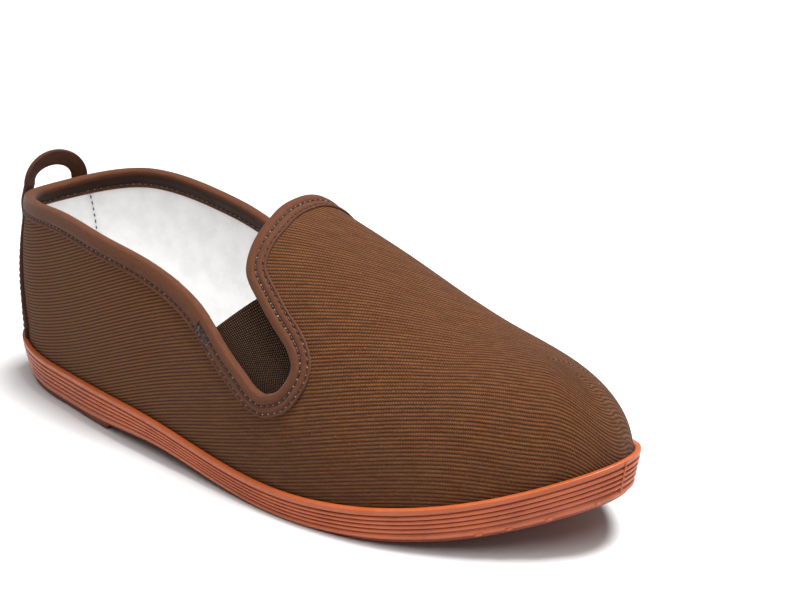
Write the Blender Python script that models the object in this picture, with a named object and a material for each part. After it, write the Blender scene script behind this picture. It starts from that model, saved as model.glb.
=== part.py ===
import bpy
import bmesh
import numpy as np
from mathutils import Matrix, Vector

# Canvas slip-on shoe for the right foot, standing empty on its sole.
# All sizes are millimetres: x runs from heel to toe, y to the inner side of the foot, z up.
MM = 0.001
GAP = 0.3
LENGTH = 270.0

# Sole: rim that holds the upper, foot bed inside it, ribbed side, heel block
RIM_WIDTH = 2.0
RIM_HEIGHT = 3.5
LIP_HEIGHT = 2.4
GROOVES = 5
GROOVE_DEPTH = 0.8
TREAD_DROP = 1.2
TREAD_INSET = 1.0
HEEL_BREAST = 74.0
HEEL_ROUND = 38.0
TOE_ROUND = 75.0
HEEL_POWER = 2.15
TOE_POWER = 2.1

# Upper: wall, and the line on which the sections of the last stand
WALL = 1.8
SPINE_START = 34.0
SPINE_TURN = 215.0
SPINE_SPREAD = 0.5
HEEL_LEAN = 7.0
LEAN_REACH = 55.0
LEAN_HEIGHT = 60.0
SWELL_SCALE = 45.6
NOTCH_X = 159.9
TONGUE_X = 138.8
INSOLE_THICK = 2.4
GORE_THICK = 1.2
TAPE_THICK = 1.0
COLLAR_FLAP = 5.6
VAMP_FLAP = 6.4

# Pull tape: width, thickness and how far its arch stands above the collar
PULL_WIDTH = 6.4
PULL_THICK = 2.0
PULL_RISE = 8.8
PULL_STEP_LOW = 62.0
PULL_STEP_HIGH = 70.0
PULL_TURN = 15

# Mesh density, and the number of steps that find a place on the skin
SOLVE_STEPS = 60
QUARTER_STEPS = 18
VAMP_STEPS = 16
STEM_SHARE = 0.33
STEM_ROWS = (0.0, 0.15, 0.42, 0.7, 1.0)
TONGUE_ROWS = (0.0, 0.05, 0.1, 0.15, 0.2, 0.27, 0.36, 0.47, 0.58, 0.69, 0.8, 0.9, 1.0)
GORE_ROWS = 8
GORE_STEPS = 7
TACK_ROW = 8
TACK_SPACE = 0.006

SECTION_COLUMNS = ("x", "lateral", "medial", "rim", "edge", "ridge", "fullness", "bulge")
SECTIONS = (
    (0.0, 21.8, 26.0, 17.8, 4.0, 165.0, 2.2, 2.2),
    (35.0, 27.6, 33.6, 16.0, 2.6, 165.0, 2.2, 2.2),
    (70.0, 35.7, 35.0, 16.0, 3.2, 155.0, 2.2, 2.0),
    (105.0, 41.5, 33.5, 14.6, 5.0, 114.0, 2.2, 1.5),
    (140.0, 46.8, 36.0, 10.9, 1.9, 90.7, 2.5, 1.0),
    (175.0, 50.2, 41.5, 10.2, 0.4, 76.6, 2.4, 0.8),
    (210.0, 46.6, 44.5, 14.2, 3.3, 61.8, 2.25, 0.2),
    (240.0, 40.3, 42.0, 21.4, 9.7, 56.0, 2.2, 0.0),
    (270.0, 32.7, 34.5, 32.8, 20.6, 50.0, 2.2, 0.0),
)
SPINE_COLUMNS = ("x", "y")
SPINE = ((0.0, 4.0), (34.0, 4.0), (105.0, 1.0), (175.0, 0.0), (215.0, 1.0), (270.0, 0.0))
TAPER_COLUMNS = ("x", "inset")
TAPER = ((0.0, 2.2), (60.0, 2.0), (110.0, 1.0), (200.0, 1.0), (270.0, 1.6))

# Top edge of the upper seen from the side: collar on both sides over the foot bed's x, then the
# gore cut-out down the quarter and up the tongue to the ridge of the instep, as x and height
COLLAR_COLUMNS = ("x", "lateral", "medial")
COLLAR = (
    (0.0, 73.0, 73.0), (15.0, 74.6, 76.2), (30.0, 75.4, 77.8), (52.0, 75.6, 77.4),
    (75.0, 73.9, 75.0), (97.0, 70.2, 70.7), (112.0, 66.1, 66.1),
)
QUARTER_EDGE = (
    (112.0, 66.1), (121.2, 61.7), (129.9, 56.3), (140.6, 48.4), (150.3, 42.4), (155.4, 39.5), (159.9, 38.6),
)
TONGUE_EDGE = (
    (159.9, 38.6), (164.6, 40.3), (168.4, 44.1), (170.1, 48.6), (169.0, 52.6), (164.9, 56.9), (158.7, 61.3),
    (150.3, 67.6), (144.4, 72.2), (141.4, 77.0), (140.3, 82.5), (140.1, 87.3),
)
GORE_COLUMNS = ("share", "rear_x", "rear_height", "front_x", "front_height")
GORE = (
    (0.0, 156.2, 34.8, 163.2, 34.8),
    (0.25, 149.3, 38.0, 172.3, 40.6),
    (0.5, 142.9, 42.4, 174.3, 49.1),
    (0.75, 136.4, 47.1, 166.8, 60.2),
    (1.0, 129.2, 51.9, 152.2, 71.3),
)
PULL_COLUMNS = ("height", "lateral_y", "medial_y")
PULL_LEGS = ((19.0, -16.5, 25.0), (37.0, -13.0, 22.5), (56.0, -9.0, 18.5), (75.0, -5.0, 15.0))

COLOURS = {
    "outsole": (0.45, 0.13, 0.06),
    "insole": (0.75, 0.73, 0.70),
    "upper": (0.16, 0.075, 0.04),
    "lateral_gore": (0.03, 0.018, 0.014),
    "medial_gore": (0.03, 0.018, 0.014),
    "collar_binding": (0.15, 0.055, 0.03),
    "vamp_binding": (0.15, 0.055, 0.03),
    "heel_pull_tape": (0.12, 0.045, 0.025),
}


def spline(xs, ys):
    # Natural cubic curve through a short column of values
    xs = np.asarray(xs, float)
    ys = np.asarray(ys, float)
    count = len(xs)
    step = np.diff(xs)
    slope = np.diff(ys, axis=0) / step.reshape((-1,) + (1,) * (ys.ndim - 1))
    system = np.eye(count)
    right = np.zeros_like(ys)
    for i in range(1, count - 1):
        system[i, i - 1:i + 2] = (step[i - 1], 2 * (step[i - 1] + step[i]), step[i])
        right[i] = 6 * (slope[i] - slope[i - 1])
    bend = np.linalg.solve(system, right.reshape(count, -1)).reshape(ys.shape)

    def at(x):
        x = np.asarray(x, float)
        i = np.clip(np.searchsorted(xs, x) - 1, 0, count - 2)
        shape = x.shape + (1,) * (ys.ndim - 1)
        far = ((xs[i + 1] - x) / step[i]).reshape(shape)
        near = ((x - xs[i]) / step[i]).reshape(shape)
        size = (step[i] ** 2).reshape(shape) / 6
        curve = (far ** 3 - far) * bend[i] + (near ** 3 - near) * bend[i + 1]
        return far * ys[i] + near * ys[i + 1] + curve * size

    return at


def column_curves(columns, rows):
    table = np.array(rows, float)
    return {name: spline(table[:, 0], table[:, i]) for i, name in enumerate(columns) if i}


section = column_curves(SECTION_COLUMNS, SECTIONS)
spine = column_curves(SPINE_COLUMNS, SPINE)
taper = column_curves(TAPER_COLUMNS, TAPER)
collar = column_curves(COLLAR_COLUMNS, COLLAR)
gore = column_curves(GORE_COLUMNS, GORE)
pull_legs = column_curves(PULL_COLUMNS, PULL_LEGS)


def station(s):
    # Position along the length, closely spaced at heel and toe
    return LENGTH * (0.5 - 0.5 * np.cos(np.pi * np.asarray(s, float)))


def station_of(x):
    return float(np.arccos(1 - 2 * x / LENGTH) / np.pi)


def outline(side, s):
    # Outer edge of the sole in plan, side -1 is the outer side of the foot
    x = station(s)
    half = section["lateral" if side < 0 else "medial"](x)
    heel = np.clip(1 - x / HEEL_ROUND, 0, 1) ** HEEL_POWER
    toe = np.clip((x - LENGTH + TOE_ROUND) / TOE_ROUND, 0, 1) ** TOE_POWER
    half = half * np.clip(1 - heel, 0, 1) ** (1 / HEEL_POWER) * np.clip(1 - toe, 0, 1) ** (1 / TOE_POWER)
    return np.stack([x, side * half], -1)


def inset_outline(side, s, inset):
    s = np.asarray(s, float)
    small = 1e-4
    run = outline(side, np.clip(s + small, 0, 1)) - outline(side, np.clip(s - small, 0, 1))
    run[..., 0] = np.where((s <= 0) | (s >= 1), 0, run[..., 0])
    run /= np.linalg.norm(run, axis=-1, keepdims=True)
    inward = np.stack([-run[..., 1], run[..., 0]], -1) * -side
    return outline(side, s) + inward * np.asarray(inset, float)[..., None]


def bed_height(x):
    return section["rim"](x) - RIM_HEIGHT


def skin(side, s, a):
    # Surface of the last: s runs heel to toe, a from the sole (0) to the ridge (1)
    s, a = np.broadcast_arrays(np.asarray(s, float), np.asarray(a, float))
    base = inset_outline(side, s, RIM_WIDTH + GAP)
    x = station(s)
    top_x = np.clip(x, SPINE_START, SPINE_TURN) + SPINE_SPREAD * np.clip(x - SPINE_TURN, 0, LENGTH)
    top = np.stack([top_x, spine["y"](top_x)], -1)
    power = 2 / section["fullness"](top_x)
    out = np.clip(np.cos(a * np.pi / 2), 0, 1) ** power
    up = np.sin(a * np.pi / 2) ** power
    plan = top + (base - top) * out[..., None]
    foot = bed_height(base[..., 0]) + GAP
    z = foot + (section["ridge"](plan[..., 0]) - foot) * up
    away = base - top
    away /= np.linalg.norm(away, axis=-1, keepdims=True)
    swell = section["bulge"](top_x) * SWELL_SCALE * up ** 2 * (1 - up) ** 4
    plan = plan + away * swell[..., None]
    lean = np.clip(1 - base[..., 0] / LEAN_REACH, 0, 1) ** 1.5
    forward = HEEL_LEAN * lean * (np.clip(z - foot, 0, None) / LEAN_HEIGHT) ** 1.6
    return np.stack([plan[..., 0] + forward, plan[..., 1], z], -1)


def tangents(side, s, a):
    small = 1e-4
    s0, s1 = np.clip(s - small, 0, 1), np.clip(s + small, 0, 1)
    a0, a1 = np.clip(a - small, 0, 1), np.clip(a + small, 0, 1)
    along = (skin(side, s1, a) - skin(side, s0, a)) / (s1 - s0)[..., None]
    upward = (skin(side, s, a1) - skin(side, s, a0)) / (a1 - a0)[..., None]
    return along, upward


def outward(side, s, a):
    s = np.asarray(s, float)
    along, upward = tangents(side, s, np.clip(a, 0.01, 0.985))
    normal = np.cross(along, upward) * -side
    normal /= np.linalg.norm(normal, axis=-1, keepdims=True)
    return normal


def locate(side, axis, targets):
    # Surface parameters where the chosen plan axis (0 x, 1 y) and the height have given values
    targets = np.asarray(targets, float)
    if axis == 0:
        s = np.array([station_of(t) for t in targets[:, 0]])
    else:
        s = np.abs(targets[:, 0]) / 250
    a = np.full(len(targets), 0.4)
    for step in range(SOLVE_STEPS):
        here = skin(side, s, a)
        miss = targets - here[:, (axis, 2)]
        along, upward = tangents(side, s, a)
        m11, m12 = along[:, axis], upward[:, axis]
        m21, m22 = along[:, 2], upward[:, 2]
        det = m11 * m22 - m12 * m21
        s = np.clip(s + np.clip((m22 * miss[:, 0] - m12 * miss[:, 1]) / det, -0.03, 0.03), 0.0005, 1)
        a = np.clip(a + np.clip((m11 * miss[:, 1] - m21 * miss[:, 0]) / det, -0.1, 0.1), 0.02, 0.995)
    return np.stack([s, a], -1)


def height_to_a(side, s, height):
    # Level on the column s where the surface reaches the height
    a = np.linspace(0, 1, 400)
    z = skin(side, np.full(400, s), a)[:, 2]
    return float(np.interp(height, z, a))


def along_curve(points, shares):
    # Points at given shares of the length of a smooth curve through the given ones
    points = np.asarray(points, float)
    run = np.concatenate([[0], np.cumsum(np.linalg.norm(np.diff(points, axis=0), axis=1))])
    fine = spline(run, points)(np.linspace(0, run[-1], 400))
    length = np.concatenate([[0], np.cumsum(np.linalg.norm(np.diff(fine, axis=0), axis=1))])
    wanted = np.asarray(shares) * length[-1]
    return np.stack([np.interp(wanted, length, fine[:, i]) for i in range(fine.shape[1])], -1)


def collar_edge(side, stations):
    heights = collar["lateral" if side < 0 else "medial"](station(stations))
    return np.array([(s, height_to_a(side, s, height)) for s, height in zip(stations, heights)])


def quarter_edge(side, shares):
    # From the lowest point of the cut-out up to the collar
    return locate(side, 0, along_curve(QUARTER_EDGE[::-1], shares))


def tongue_edge(side, shares):
    # From the lowest point of the cut-out up the tongue to the ridge, which it crosses square
    low = locate(side, 0, TONGUE_EDGE)
    s_ridge = station_of(TONGUE_X)
    middle = (0.6 * s_ridge + 0.4 * low[-1, 0], 0.45 + 0.55 * low[-1, 1])
    full = np.vstack([low, middle, (s_ridge, 1.0)])
    scale = np.array([170.0, 110.0])
    return np.clip(along_curve(full * scale, shares) / scale, 0, 1)


def blend_patch(low, high, left, right):
    # Grid between four border curves that share their corners
    u = np.linspace(0, 1, len(low))[:, None, None]
    w = row_shares[None, :, None]
    flat = (1 - u) * left[None] + u * right[None] + (1 - w) * low[:, None] + w * high[:, None]
    corners = (1 - u) * (1 - w) * low[0] + u * (1 - w) * low[-1] + (1 - u) * w * high[0] + u * w * high[-1]
    return flat - corners


s_notch = station_of(NOTCH_X)
s_corner = station_of(COLLAR[-1][0])
quarter_stations = np.linspace(0, s_notch, QUARTER_STEPS + 1)
vamp_stations = np.linspace(s_notch, 1, VAMP_STEPS + 1)
base_stations = np.concatenate([quarter_stations, vamp_stations[1:]])
stem_shares = np.array(STEM_ROWS)[:, None]
quarter_rows = np.linspace(0, 1, len(TONGUE_ROWS))
edge_rows = STEM_SHARE + (1 - STEM_SHARE) * quarter_rows[1:]
row_shares = np.concatenate([stem_shares[:, 0] * STEM_SHARE, edge_rows])


def quarter_patch(side):
    low = np.stack([quarter_stations, np.zeros(QUARTER_STEPS + 1)], -1)
    high = collar_edge(side, np.linspace(0, s_corner, QUARTER_STEPS + 1))
    front = quarter_edge(side, quarter_rows)
    stem = low[-1] + (front[0] - low[-1]) * stem_shares
    right = np.vstack([stem, front[1:]])
    right[-1] = high[-1]
    left = low[0] + (high[0] - low[0]) * row_shares[:, None]
    return blend_patch(low, high, left, right)


def vamp_patch(side):
    low = np.stack([vamp_stations, np.zeros(VAMP_STEPS + 1)], -1)
    edge = tongue_edge(side, TONGUE_ROWS)
    stem = low[0] + (edge[0] - low[0]) * stem_shares
    left = np.vstack([stem, edge[1:]])
    high = np.stack([np.linspace(edge[-1, 0], 1, VAMP_STEPS + 1), np.ones(VAMP_STEPS + 1)], -1)
    right = low[-1] + (high[-1] - low[-1]) * row_shares[:, None]
    return blend_patch(low, high, left, right)


def clear_scene():
    for item in list(bpy.data.objects):
        bpy.data.objects.remove(item, do_unlink=True)


def make_object(name, mesh_bm, collection, parent, smooth):
    bmesh.ops.recalc_face_normals(mesh_bm, faces=mesh_bm.faces[:])
    for face in mesh_bm.faces:
        face.smooth = smooth
    mesh = bpy.data.meshes.new(name)
    mesh_bm.to_mesh(mesh)
    mesh_bm.free()
    material = bpy.data.materials.new(name)
    material.use_nodes = True
    shader = material.node_tree.nodes["Principled BSDF"]
    shader.inputs["Base Color"].default_value = COLOURS[name] + (1.0,)
    shader.inputs["Roughness"].default_value = 0.8
    mesh.materials.append(material)
    item = bpy.data.objects.new(name, mesh)
    item.parent = parent
    collection.objects.link(item)
    return item


def add_verts(mesh_bm, points):
    return [mesh_bm.verts.new(Vector(p) * MM) for p in points]


def add_quad(mesh_bm, corners):
    # Face of three or four corners, corners that are the same vertex count once
    loop = []
    for corner in corners:
        if corner not in loop:
            loop.append(corner)
    if len(loop) > 2:
        mesh_bm.faces.new(loop)


def ring_points(stations, inset, height):
    # Closed loop round the shoe: outer side heel to toe, inner side back again
    low = inset_outline(-1, stations, inset(stations))
    high = inset_outline(1, stations, inset(stations))[-2:0:-1]
    plan = np.vstack([low, high])
    return np.column_stack([plan, height(plan[:, 0])])


def loft_rings(mesh_bm, rings):
    loops = [add_verts(mesh_bm, ring) for ring in rings]
    for low, high in zip(loops, loops[1:]):
        for i in range(len(low)):
            j = (i + 1) % len(low)
            add_quad(mesh_bm, (low[i], low[j], high[j], high[i]))
    return loops


def ladder(mesh_bm, loop):
    # Close a loop with rungs from the outer to the inner side
    count = len(loop)
    for i in range(count // 2):
        add_quad(mesh_bm, (loop[i], loop[i + 1], loop[(count - i - 1) % count], loop[(count - i) % count]))


def build_outsole():
    mesh_bm = bmesh.new()
    s_breast = station_of(HEEL_BREAST)
    stations = np.sort(np.concatenate([base_stations, [s_breast - 0.0005, s_breast + 0.003]]))
    top, edge = section["rim"], section["edge"]

    def plain(value):
        return lambda s: np.full(len(s), value)

    def wall_inset(part, extra):
        return lambda s: taper["inset"](station(s)) * part + extra

    def wall_height(part):
        return lambda x: top(x) - LIP_HEIGHT - part * (top(x) - LIP_HEIGHT - edge(x))

    def tread_height(x):
        return np.where(x < HEEL_BREAST, 0.0, np.clip(edge(x) - TREAD_DROP, 0, None))

    rings = [
        (plain(RIM_WIDTH), bed_height),
        (plain(RIM_WIDTH), top),
        (plain(1.1), lambda x: top(x) - 0.1),
        (plain(0.3), lambda x: top(x) - 0.8),
        (plain(0.0), lambda x: top(x) - LIP_HEIGHT + 0.4),
    ]
    pitch = 1.0 / (GROOVES + 0.6)
    for groove in range(GROOVES):
        start = groove * pitch
        for share, depth in ((0.0, 0.0), (0.17, GROOVE_DEPTH), (0.34, 0.0)):
            part = start + share * pitch
            rings.append((wall_inset(part, depth), wall_height(part)))
    rings.append((wall_inset(1.0, 0.2), wall_height(1.0)))
    rings.append((wall_inset(1.0, TREAD_INSET), lambda x: edge(x) - 0.1))
    rings.append((wall_inset(1.0, TREAD_INSET + 0.4), tread_height))
    loops = loft_rings(mesh_bm, [ring_points(stations, inset, height) for inset, height in rings])
    ladder(mesh_bm, loops[0])
    ladder(mesh_bm, loops[-1])
    return mesh_bm


def build_insole():
    mesh_bm = bmesh.new()
    inset = RIM_WIDTH + GAP + WALL + GAP + 0.3

    def around(s):
        return np.full(len(s), inset)

    def under(x):
        return bed_height(x) + GAP

    def over(x):
        return bed_height(x) + GAP + INSOLE_THICK

    loops = loft_rings(mesh_bm, [ring_points(base_stations, around, level) for level in (under, over)])
    ladder(mesh_bm, loops[0])
    ladder(mesh_bm, loops[1])
    return mesh_bm


def build_upper():
    # Outer skin of four patches that share their border vertices, then the inside and the edges
    mesh_bm = bmesh.new()
    known = {}
    standing = set()

    def vertex(point):
        key = tuple(np.round(point, 2) + 0.0)
        if key not in known:
            known[key] = mesh_bm.verts.new(Vector(point) * MM)
        return known[key]

    for side in (-1, 1):
        for patch in (quarter_patch(side), vamp_patch(side)):
            points = skin(side, patch[..., 0], patch[..., 1])
            grid = [[vertex(p) for p in row] for row in points]
            standing.update(row[0] for row in grid)
            for i in range(len(grid) - 1):
                for j in range(len(grid[0]) - 1):
                    add_quad(mesh_bm, (grid[i][j], grid[i + 1][j], grid[i + 1][j + 1], grid[i][j + 1]))
    bmesh.ops.recalc_face_normals(mesh_bm, faces=mesh_bm.faces[:])
    mesh_bm.normal_update()
    outside = mesh_bm.verts[:]
    skin_faces = mesh_bm.faces[:]
    middle = Vector((LENGTH / 2, 0, 30)) * MM
    sense = sum((v.co - middle).dot(v.normal) for v in outside)
    depth = WALL * MM * (1 if sense > 0 else -1)
    inside = {v: mesh_bm.verts.new(v.co - v.normal * depth) for v in outside}
    for v in standing:
        level = Vector((v.normal.x, v.normal.y, 0)).normalized()
        foot = v.co - level * depth
        foot.z = (float(bed_height(foot.x / MM)) + GAP) * MM
        inside[v].co = foot
    border = [edge for edge in mesh_bm.edges if len(edge.link_faces) == 1]
    for face in skin_faces:
        mesh_bm.faces.new([inside[v] for v in reversed(face.verts)])
    for edge in border:
        first, last = edge.verts
        mesh_bm.faces.new((first, last, inside[last], inside[first]))
    return mesh_bm


def build_gore(side):
    mesh_bm = bmesh.new()
    grid = []
    for share in np.linspace(0, 1, GORE_ROWS):
        rear = (gore["rear_x"](share), gore["rear_height"](share))
        front = (gore["front_x"](share), gore["front_height"](share))
        ends = locate(side, 0, (rear, front))
        grid.append(np.linspace(ends[0], ends[1], GORE_STEPS))
    grid = np.array(grid)
    shell = skin(side, grid[..., 0], grid[..., 1])
    normal = outward(side, grid[..., 0], grid[..., 1])
    faces = []
    for depth in (WALL + GAP + 0.15, WALL + GAP + 0.15 + GORE_THICK):
        flat = shell - normal * depth
        faces.append([add_verts(mesh_bm, row) for row in flat])
    rows_count, cols_count = grid.shape[:2]
    for face in faces:
        for i in range(rows_count - 1):
            for j in range(cols_count - 1):
                add_quad(mesh_bm, (face[i][j], face[i + 1][j], face[i + 1][j + 1], face[i][j + 1]))
    loop = [(i, 0) for i in range(rows_count)] + [(rows_count - 1, j) for j in range(1, cols_count)]
    loop += [(i, cols_count - 1) for i in range(rows_count - 2, -1, -1)]
    loop += [(0, j) for j in range(cols_count - 2, 0, -1)]
    for (i, j), (k, m) in zip(loop, loop[1:] + loop[:1]):
        add_quad(mesh_bm, (faces[0][i][j], faces[0][k][m], faces[1][k][m], faces[1][i][j]))
    return mesh_bm


def edge_frames(path, heading):
    # Position, outward normal and the direction into the cloth at each place of a path on the skin
    sides = np.array([p[0] for p in path])
    s = np.array([p[1] for p in path])
    a = np.array([p[2] for p in path])
    points = np.where((sides < 0)[:, None], skin(-1, s, a), skin(1, s, a))
    normals = np.where((sides < 0)[:, None], outward(-1, s, a), outward(1, s, a))
    run = np.gradient(points, axis=0)
    run /= np.linalg.norm(run, axis=1, keepdims=True)
    for i in np.flatnonzero(a > 0.999):
        ahead = skin(-1, s[i] + 0.004, 1.0) - points[i]
        level = np.cross(ahead, (0, 1, 0))
        normals[i] = level / np.linalg.norm(level)
    inward = np.cross(normals, run) * heading
    inward /= np.linalg.norm(inward, axis=1, keepdims=True)
    return sides, s, a, points, normals, inward


def march(side, s, a, direction, distance):
    # Walk over the skin in a direction, in short steps
    steps = 4
    for step in range(steps):
        along, upward = tangents(side, np.array([s]), np.array([min(a, 0.995)]))
        system = np.stack([along[0], upward[0]], -1)
        move, *rest = np.linalg.lstsq(system, direction * distance / steps, rcond=None)
        s = float(np.clip(s + move[0], 0, 1))
        a = float(np.clip(a + move[1], 0, 1))
    return s, a


def sweep(mesh_bm, sections):
    # Closed sections joined in order and capped at both ends
    loops = [add_verts(mesh_bm, section_points) for section_points in sections]
    for low, high in zip(loops, loops[1:]):
        for i in range(len(low)):
            j = (i + 1) % len(low)
            add_quad(mesh_bm, (low[i], low[j], high[j], high[i]))
    mesh_bm.faces.new(loops[0])
    mesh_bm.faces.new(loops[-1][::-1])


def flap_points(frame, flap, count):
    # Places on the skin across the tape, from the cloth's edge inward
    side, s, a, point, normal, inward = frame
    places = []
    for share in np.linspace(0, 1, count):
        s1, a1 = march(side, s, a, inward, flap * share) if share else (s, a)
        if a1 > 0.995:
            places.append((skin(side, s1, 1.0), normal))
        else:
            places.append((skin(side, np.array([s1]), np.array([a1]))[0],
                           outward(side, np.array([s1]), np.array([a1]))[0]))
    return places


def binding_section(frame, outer_flap, inner_flap):
    # Tape folded over the cloth's edge: outer flap, fold and, where it is wide enough, inner flap
    side, s, a, point, normal, inward = frame
    low, high = GAP, GAP + TAPE_THICK
    outer = flap_points(frame, outer_flap, 3)
    section_points = [p + n * high for p, n in outer]
    section_points[-1] = outer[-1][0] + outer[-1][1] * (high - 0.3)
    section_points += [p + n * low for p, n in outer[::-1]]
    section_points[-1] = section_points[-1] - inward * GAP
    inside = -WALL - GAP
    if inner_flap:
        inner = flap_points(frame, inner_flap, 2)
        section_points.append(point - inward * GAP + normal * inside)
        section_points.append(inner[1][0] + inner[1][1] * inside)
        section_points.append(inner[1][0] + inner[1][1] * (inside - TAPE_THICK))
        section_points.append(point - inward * (GAP + 0.5) + normal * (inside - TAPE_THICK))
        section_points.append(point - inward * (GAP + TAPE_THICK + 0.4) - normal * WALL / 2)
    else:
        section_points.append(point - inward * GAP - normal * (WALL - 0.1))
        section_points.append(point - inward * (GAP + TAPE_THICK) - normal * (WALL - 0.1))
        section_points.append(point - inward * (GAP + TAPE_THICK + 0.2) - normal * WALL / 2)
    section_points[0] = section_points[0] - inward * (GAP + 0.4)
    return section_points


def collar_path():
    # Lateral bar tack, up the quarter, round the heel, down to the medial bar tack
    half = []
    shares = quarter_rows[TACK_ROW:-1] + np.array([TACK_SPACE] + [0] * (len(quarter_rows) - TACK_ROW - 2))
    for side in (-1, 1):
        front = [(side, s, a) for s, a in quarter_edge(side, shares)]
        top = [(side, s, a) for s, a in collar_edge(side, np.linspace(s_corner, 0, QUARTER_STEPS + 1))]
        half.append(front + top)
    return half[0] + half[1][-2::-1]


def vamp_path():
    # Lateral bar tack, down and round the cut-out, over the tongue, and the same on the other side
    half = []
    shares = quarter_rows[TACK_ROW:0:-1] - np.array([TACK_SPACE] + [0] * (TACK_ROW - 1))
    for side in (-1, 1):
        front = [(side, s, a) for s, a in quarter_edge(side, shares)]
        edge = [(side, s, a) for s, a in tongue_edge(side, TONGUE_ROWS)]
        half.append(front + edge)
    return half[0] + half[1][-2::-1]


def build_binding(path, heading, outer_flap, inner_flap):
    # The inner flap runs out towards both ends, where the gore lies behind the cloth
    mesh_bm = bmesh.new()
    frames = list(zip(*edge_frames(path, heading)))
    sections = []
    for i, frame in enumerate(frames):
        from_end = min(i, len(frames) - 1 - i)
        share = (0.12, 0.12, 0.5)[from_end] if from_end < 3 else 1.0
        sections.append(binding_section(frame, outer_flap, inner_flap * share))
    sweep(mesh_bm, sections)
    return mesh_bm


def build_pull_tape():
    # Flat folded tape: up one side of the heel, an arch over the collar, down the other side
    mesh_bm = bmesh.new()
    heights = np.linspace(PULL_LEGS[0][0], PULL_LEGS[-1][0], 9)
    legs = []
    for side, name in ((-1, "lateral_y"), (1, "medial_y")):
        places = locate(side, 1, np.stack([pull_legs[name](heights), heights], -1))
        points = skin(side, places[:, 0], places[:, 1])
        normals = outward(side, places[:, 0], places[:, 1])
        over = np.clip((heights - PULL_STEP_LOW) / (PULL_STEP_HIGH - PULL_STEP_LOW), 0, 1)
        lift = GAP + (TAPE_THICK + GAP) * over + PULL_THICK / 2
        legs.append((points + normals * lift[:, None], normals))
    (left, left_normals), (right, right_normals) = legs
    middle = (left[-1] + right[-1]) / 2
    reach = (left[-1] - right[-1]) / 2
    turn = np.radians(np.arange(PULL_TURN, 180, PULL_TURN))[:, None]
    arch = middle + reach * np.cos(turn) + np.array((0, 0, 1)) * PULL_RISE * np.sin(turn)
    share = (1 - np.cos(turn)) / 2
    arch_normals = left_normals[-1] * (1 - share) + right_normals[-1] * share
    points = np.vstack([left, arch, right[::-1]])
    normals = np.vstack([left_normals, arch_normals, right_normals[::-1]])
    normals /= np.linalg.norm(normals, axis=1, keepdims=True)
    run = np.gradient(points, axis=0)
    across = np.cross(normals, run)
    across /= np.linalg.norm(across, axis=1, keepdims=True)
    half_w, half_t = PULL_WIDTH / 2, PULL_THICK / 2
    corners = ((-1, -0.5), (-1, 0.5), (-0.7, 1), (0.7, 1), (1, 0.5), (1, -0.5), (0.7, -1), (-0.7, -1))
    sections = []
    for point, normal, side_way in zip(points, normals, across):
        sections.append([point + side_way * half_w * w + normal * half_t * t for w, t in corners])
    sweep(mesh_bm, sections)
    return mesh_bm


def main():
    clear_scene()
    collection = bpy.data.collections.new("canvas_slip_on_shoe")
    bpy.context.scene.collection.children.link(collection)
    root = bpy.data.objects.new("shoe", None)
    collection.objects.link(root)
    pieces = {
        "outsole": build_outsole(),
        "insole": build_insole(),
        "upper": build_upper(),
        "lateral_gore": build_gore(-1),
        "medial_gore": build_gore(1),
        "collar_binding": build_binding(collar_path(), 1, COLLAR_FLAP, COLLAR_FLAP),
        "vamp_binding": build_binding(vamp_path(), -1, VAMP_FLAP, 0),
        "heel_pull_tape": build_pull_tape(),
    }
    items = []
    for name, mesh_bm in pieces.items():
        smooth = name not in ("outsole", "insole")
        items.append(make_object(name, mesh_bm, collection, root, smooth))
    corners = np.array([v.co for item in items for v in item.data.vertices])
    low, high = corners.min(axis=0), corners.max(axis=0)
    shift = Matrix.Translation(((low[0] + high[0]) / -2, (low[1] + high[1]) / -2, -low[2]))
    root.matrix_world = shift


main()
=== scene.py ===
import math
import bmesh
import bpy
import numpy as np
from mathutils import Matrix, Vector


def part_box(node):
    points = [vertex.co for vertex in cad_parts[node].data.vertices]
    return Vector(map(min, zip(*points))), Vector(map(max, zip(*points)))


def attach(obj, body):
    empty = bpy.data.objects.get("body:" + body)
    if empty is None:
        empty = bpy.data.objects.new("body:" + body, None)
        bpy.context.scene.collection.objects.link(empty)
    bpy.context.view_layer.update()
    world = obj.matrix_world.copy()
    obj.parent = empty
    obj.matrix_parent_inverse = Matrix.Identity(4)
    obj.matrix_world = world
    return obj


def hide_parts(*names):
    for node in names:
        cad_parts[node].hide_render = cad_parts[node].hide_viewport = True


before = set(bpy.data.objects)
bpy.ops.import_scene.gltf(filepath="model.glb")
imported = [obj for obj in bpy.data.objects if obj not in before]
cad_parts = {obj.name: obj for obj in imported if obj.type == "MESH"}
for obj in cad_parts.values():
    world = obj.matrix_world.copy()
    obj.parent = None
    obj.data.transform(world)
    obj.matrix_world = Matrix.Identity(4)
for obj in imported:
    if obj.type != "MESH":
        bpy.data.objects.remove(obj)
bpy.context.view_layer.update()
print("frame loaded:", ", ".join(sorted(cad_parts)))

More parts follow.
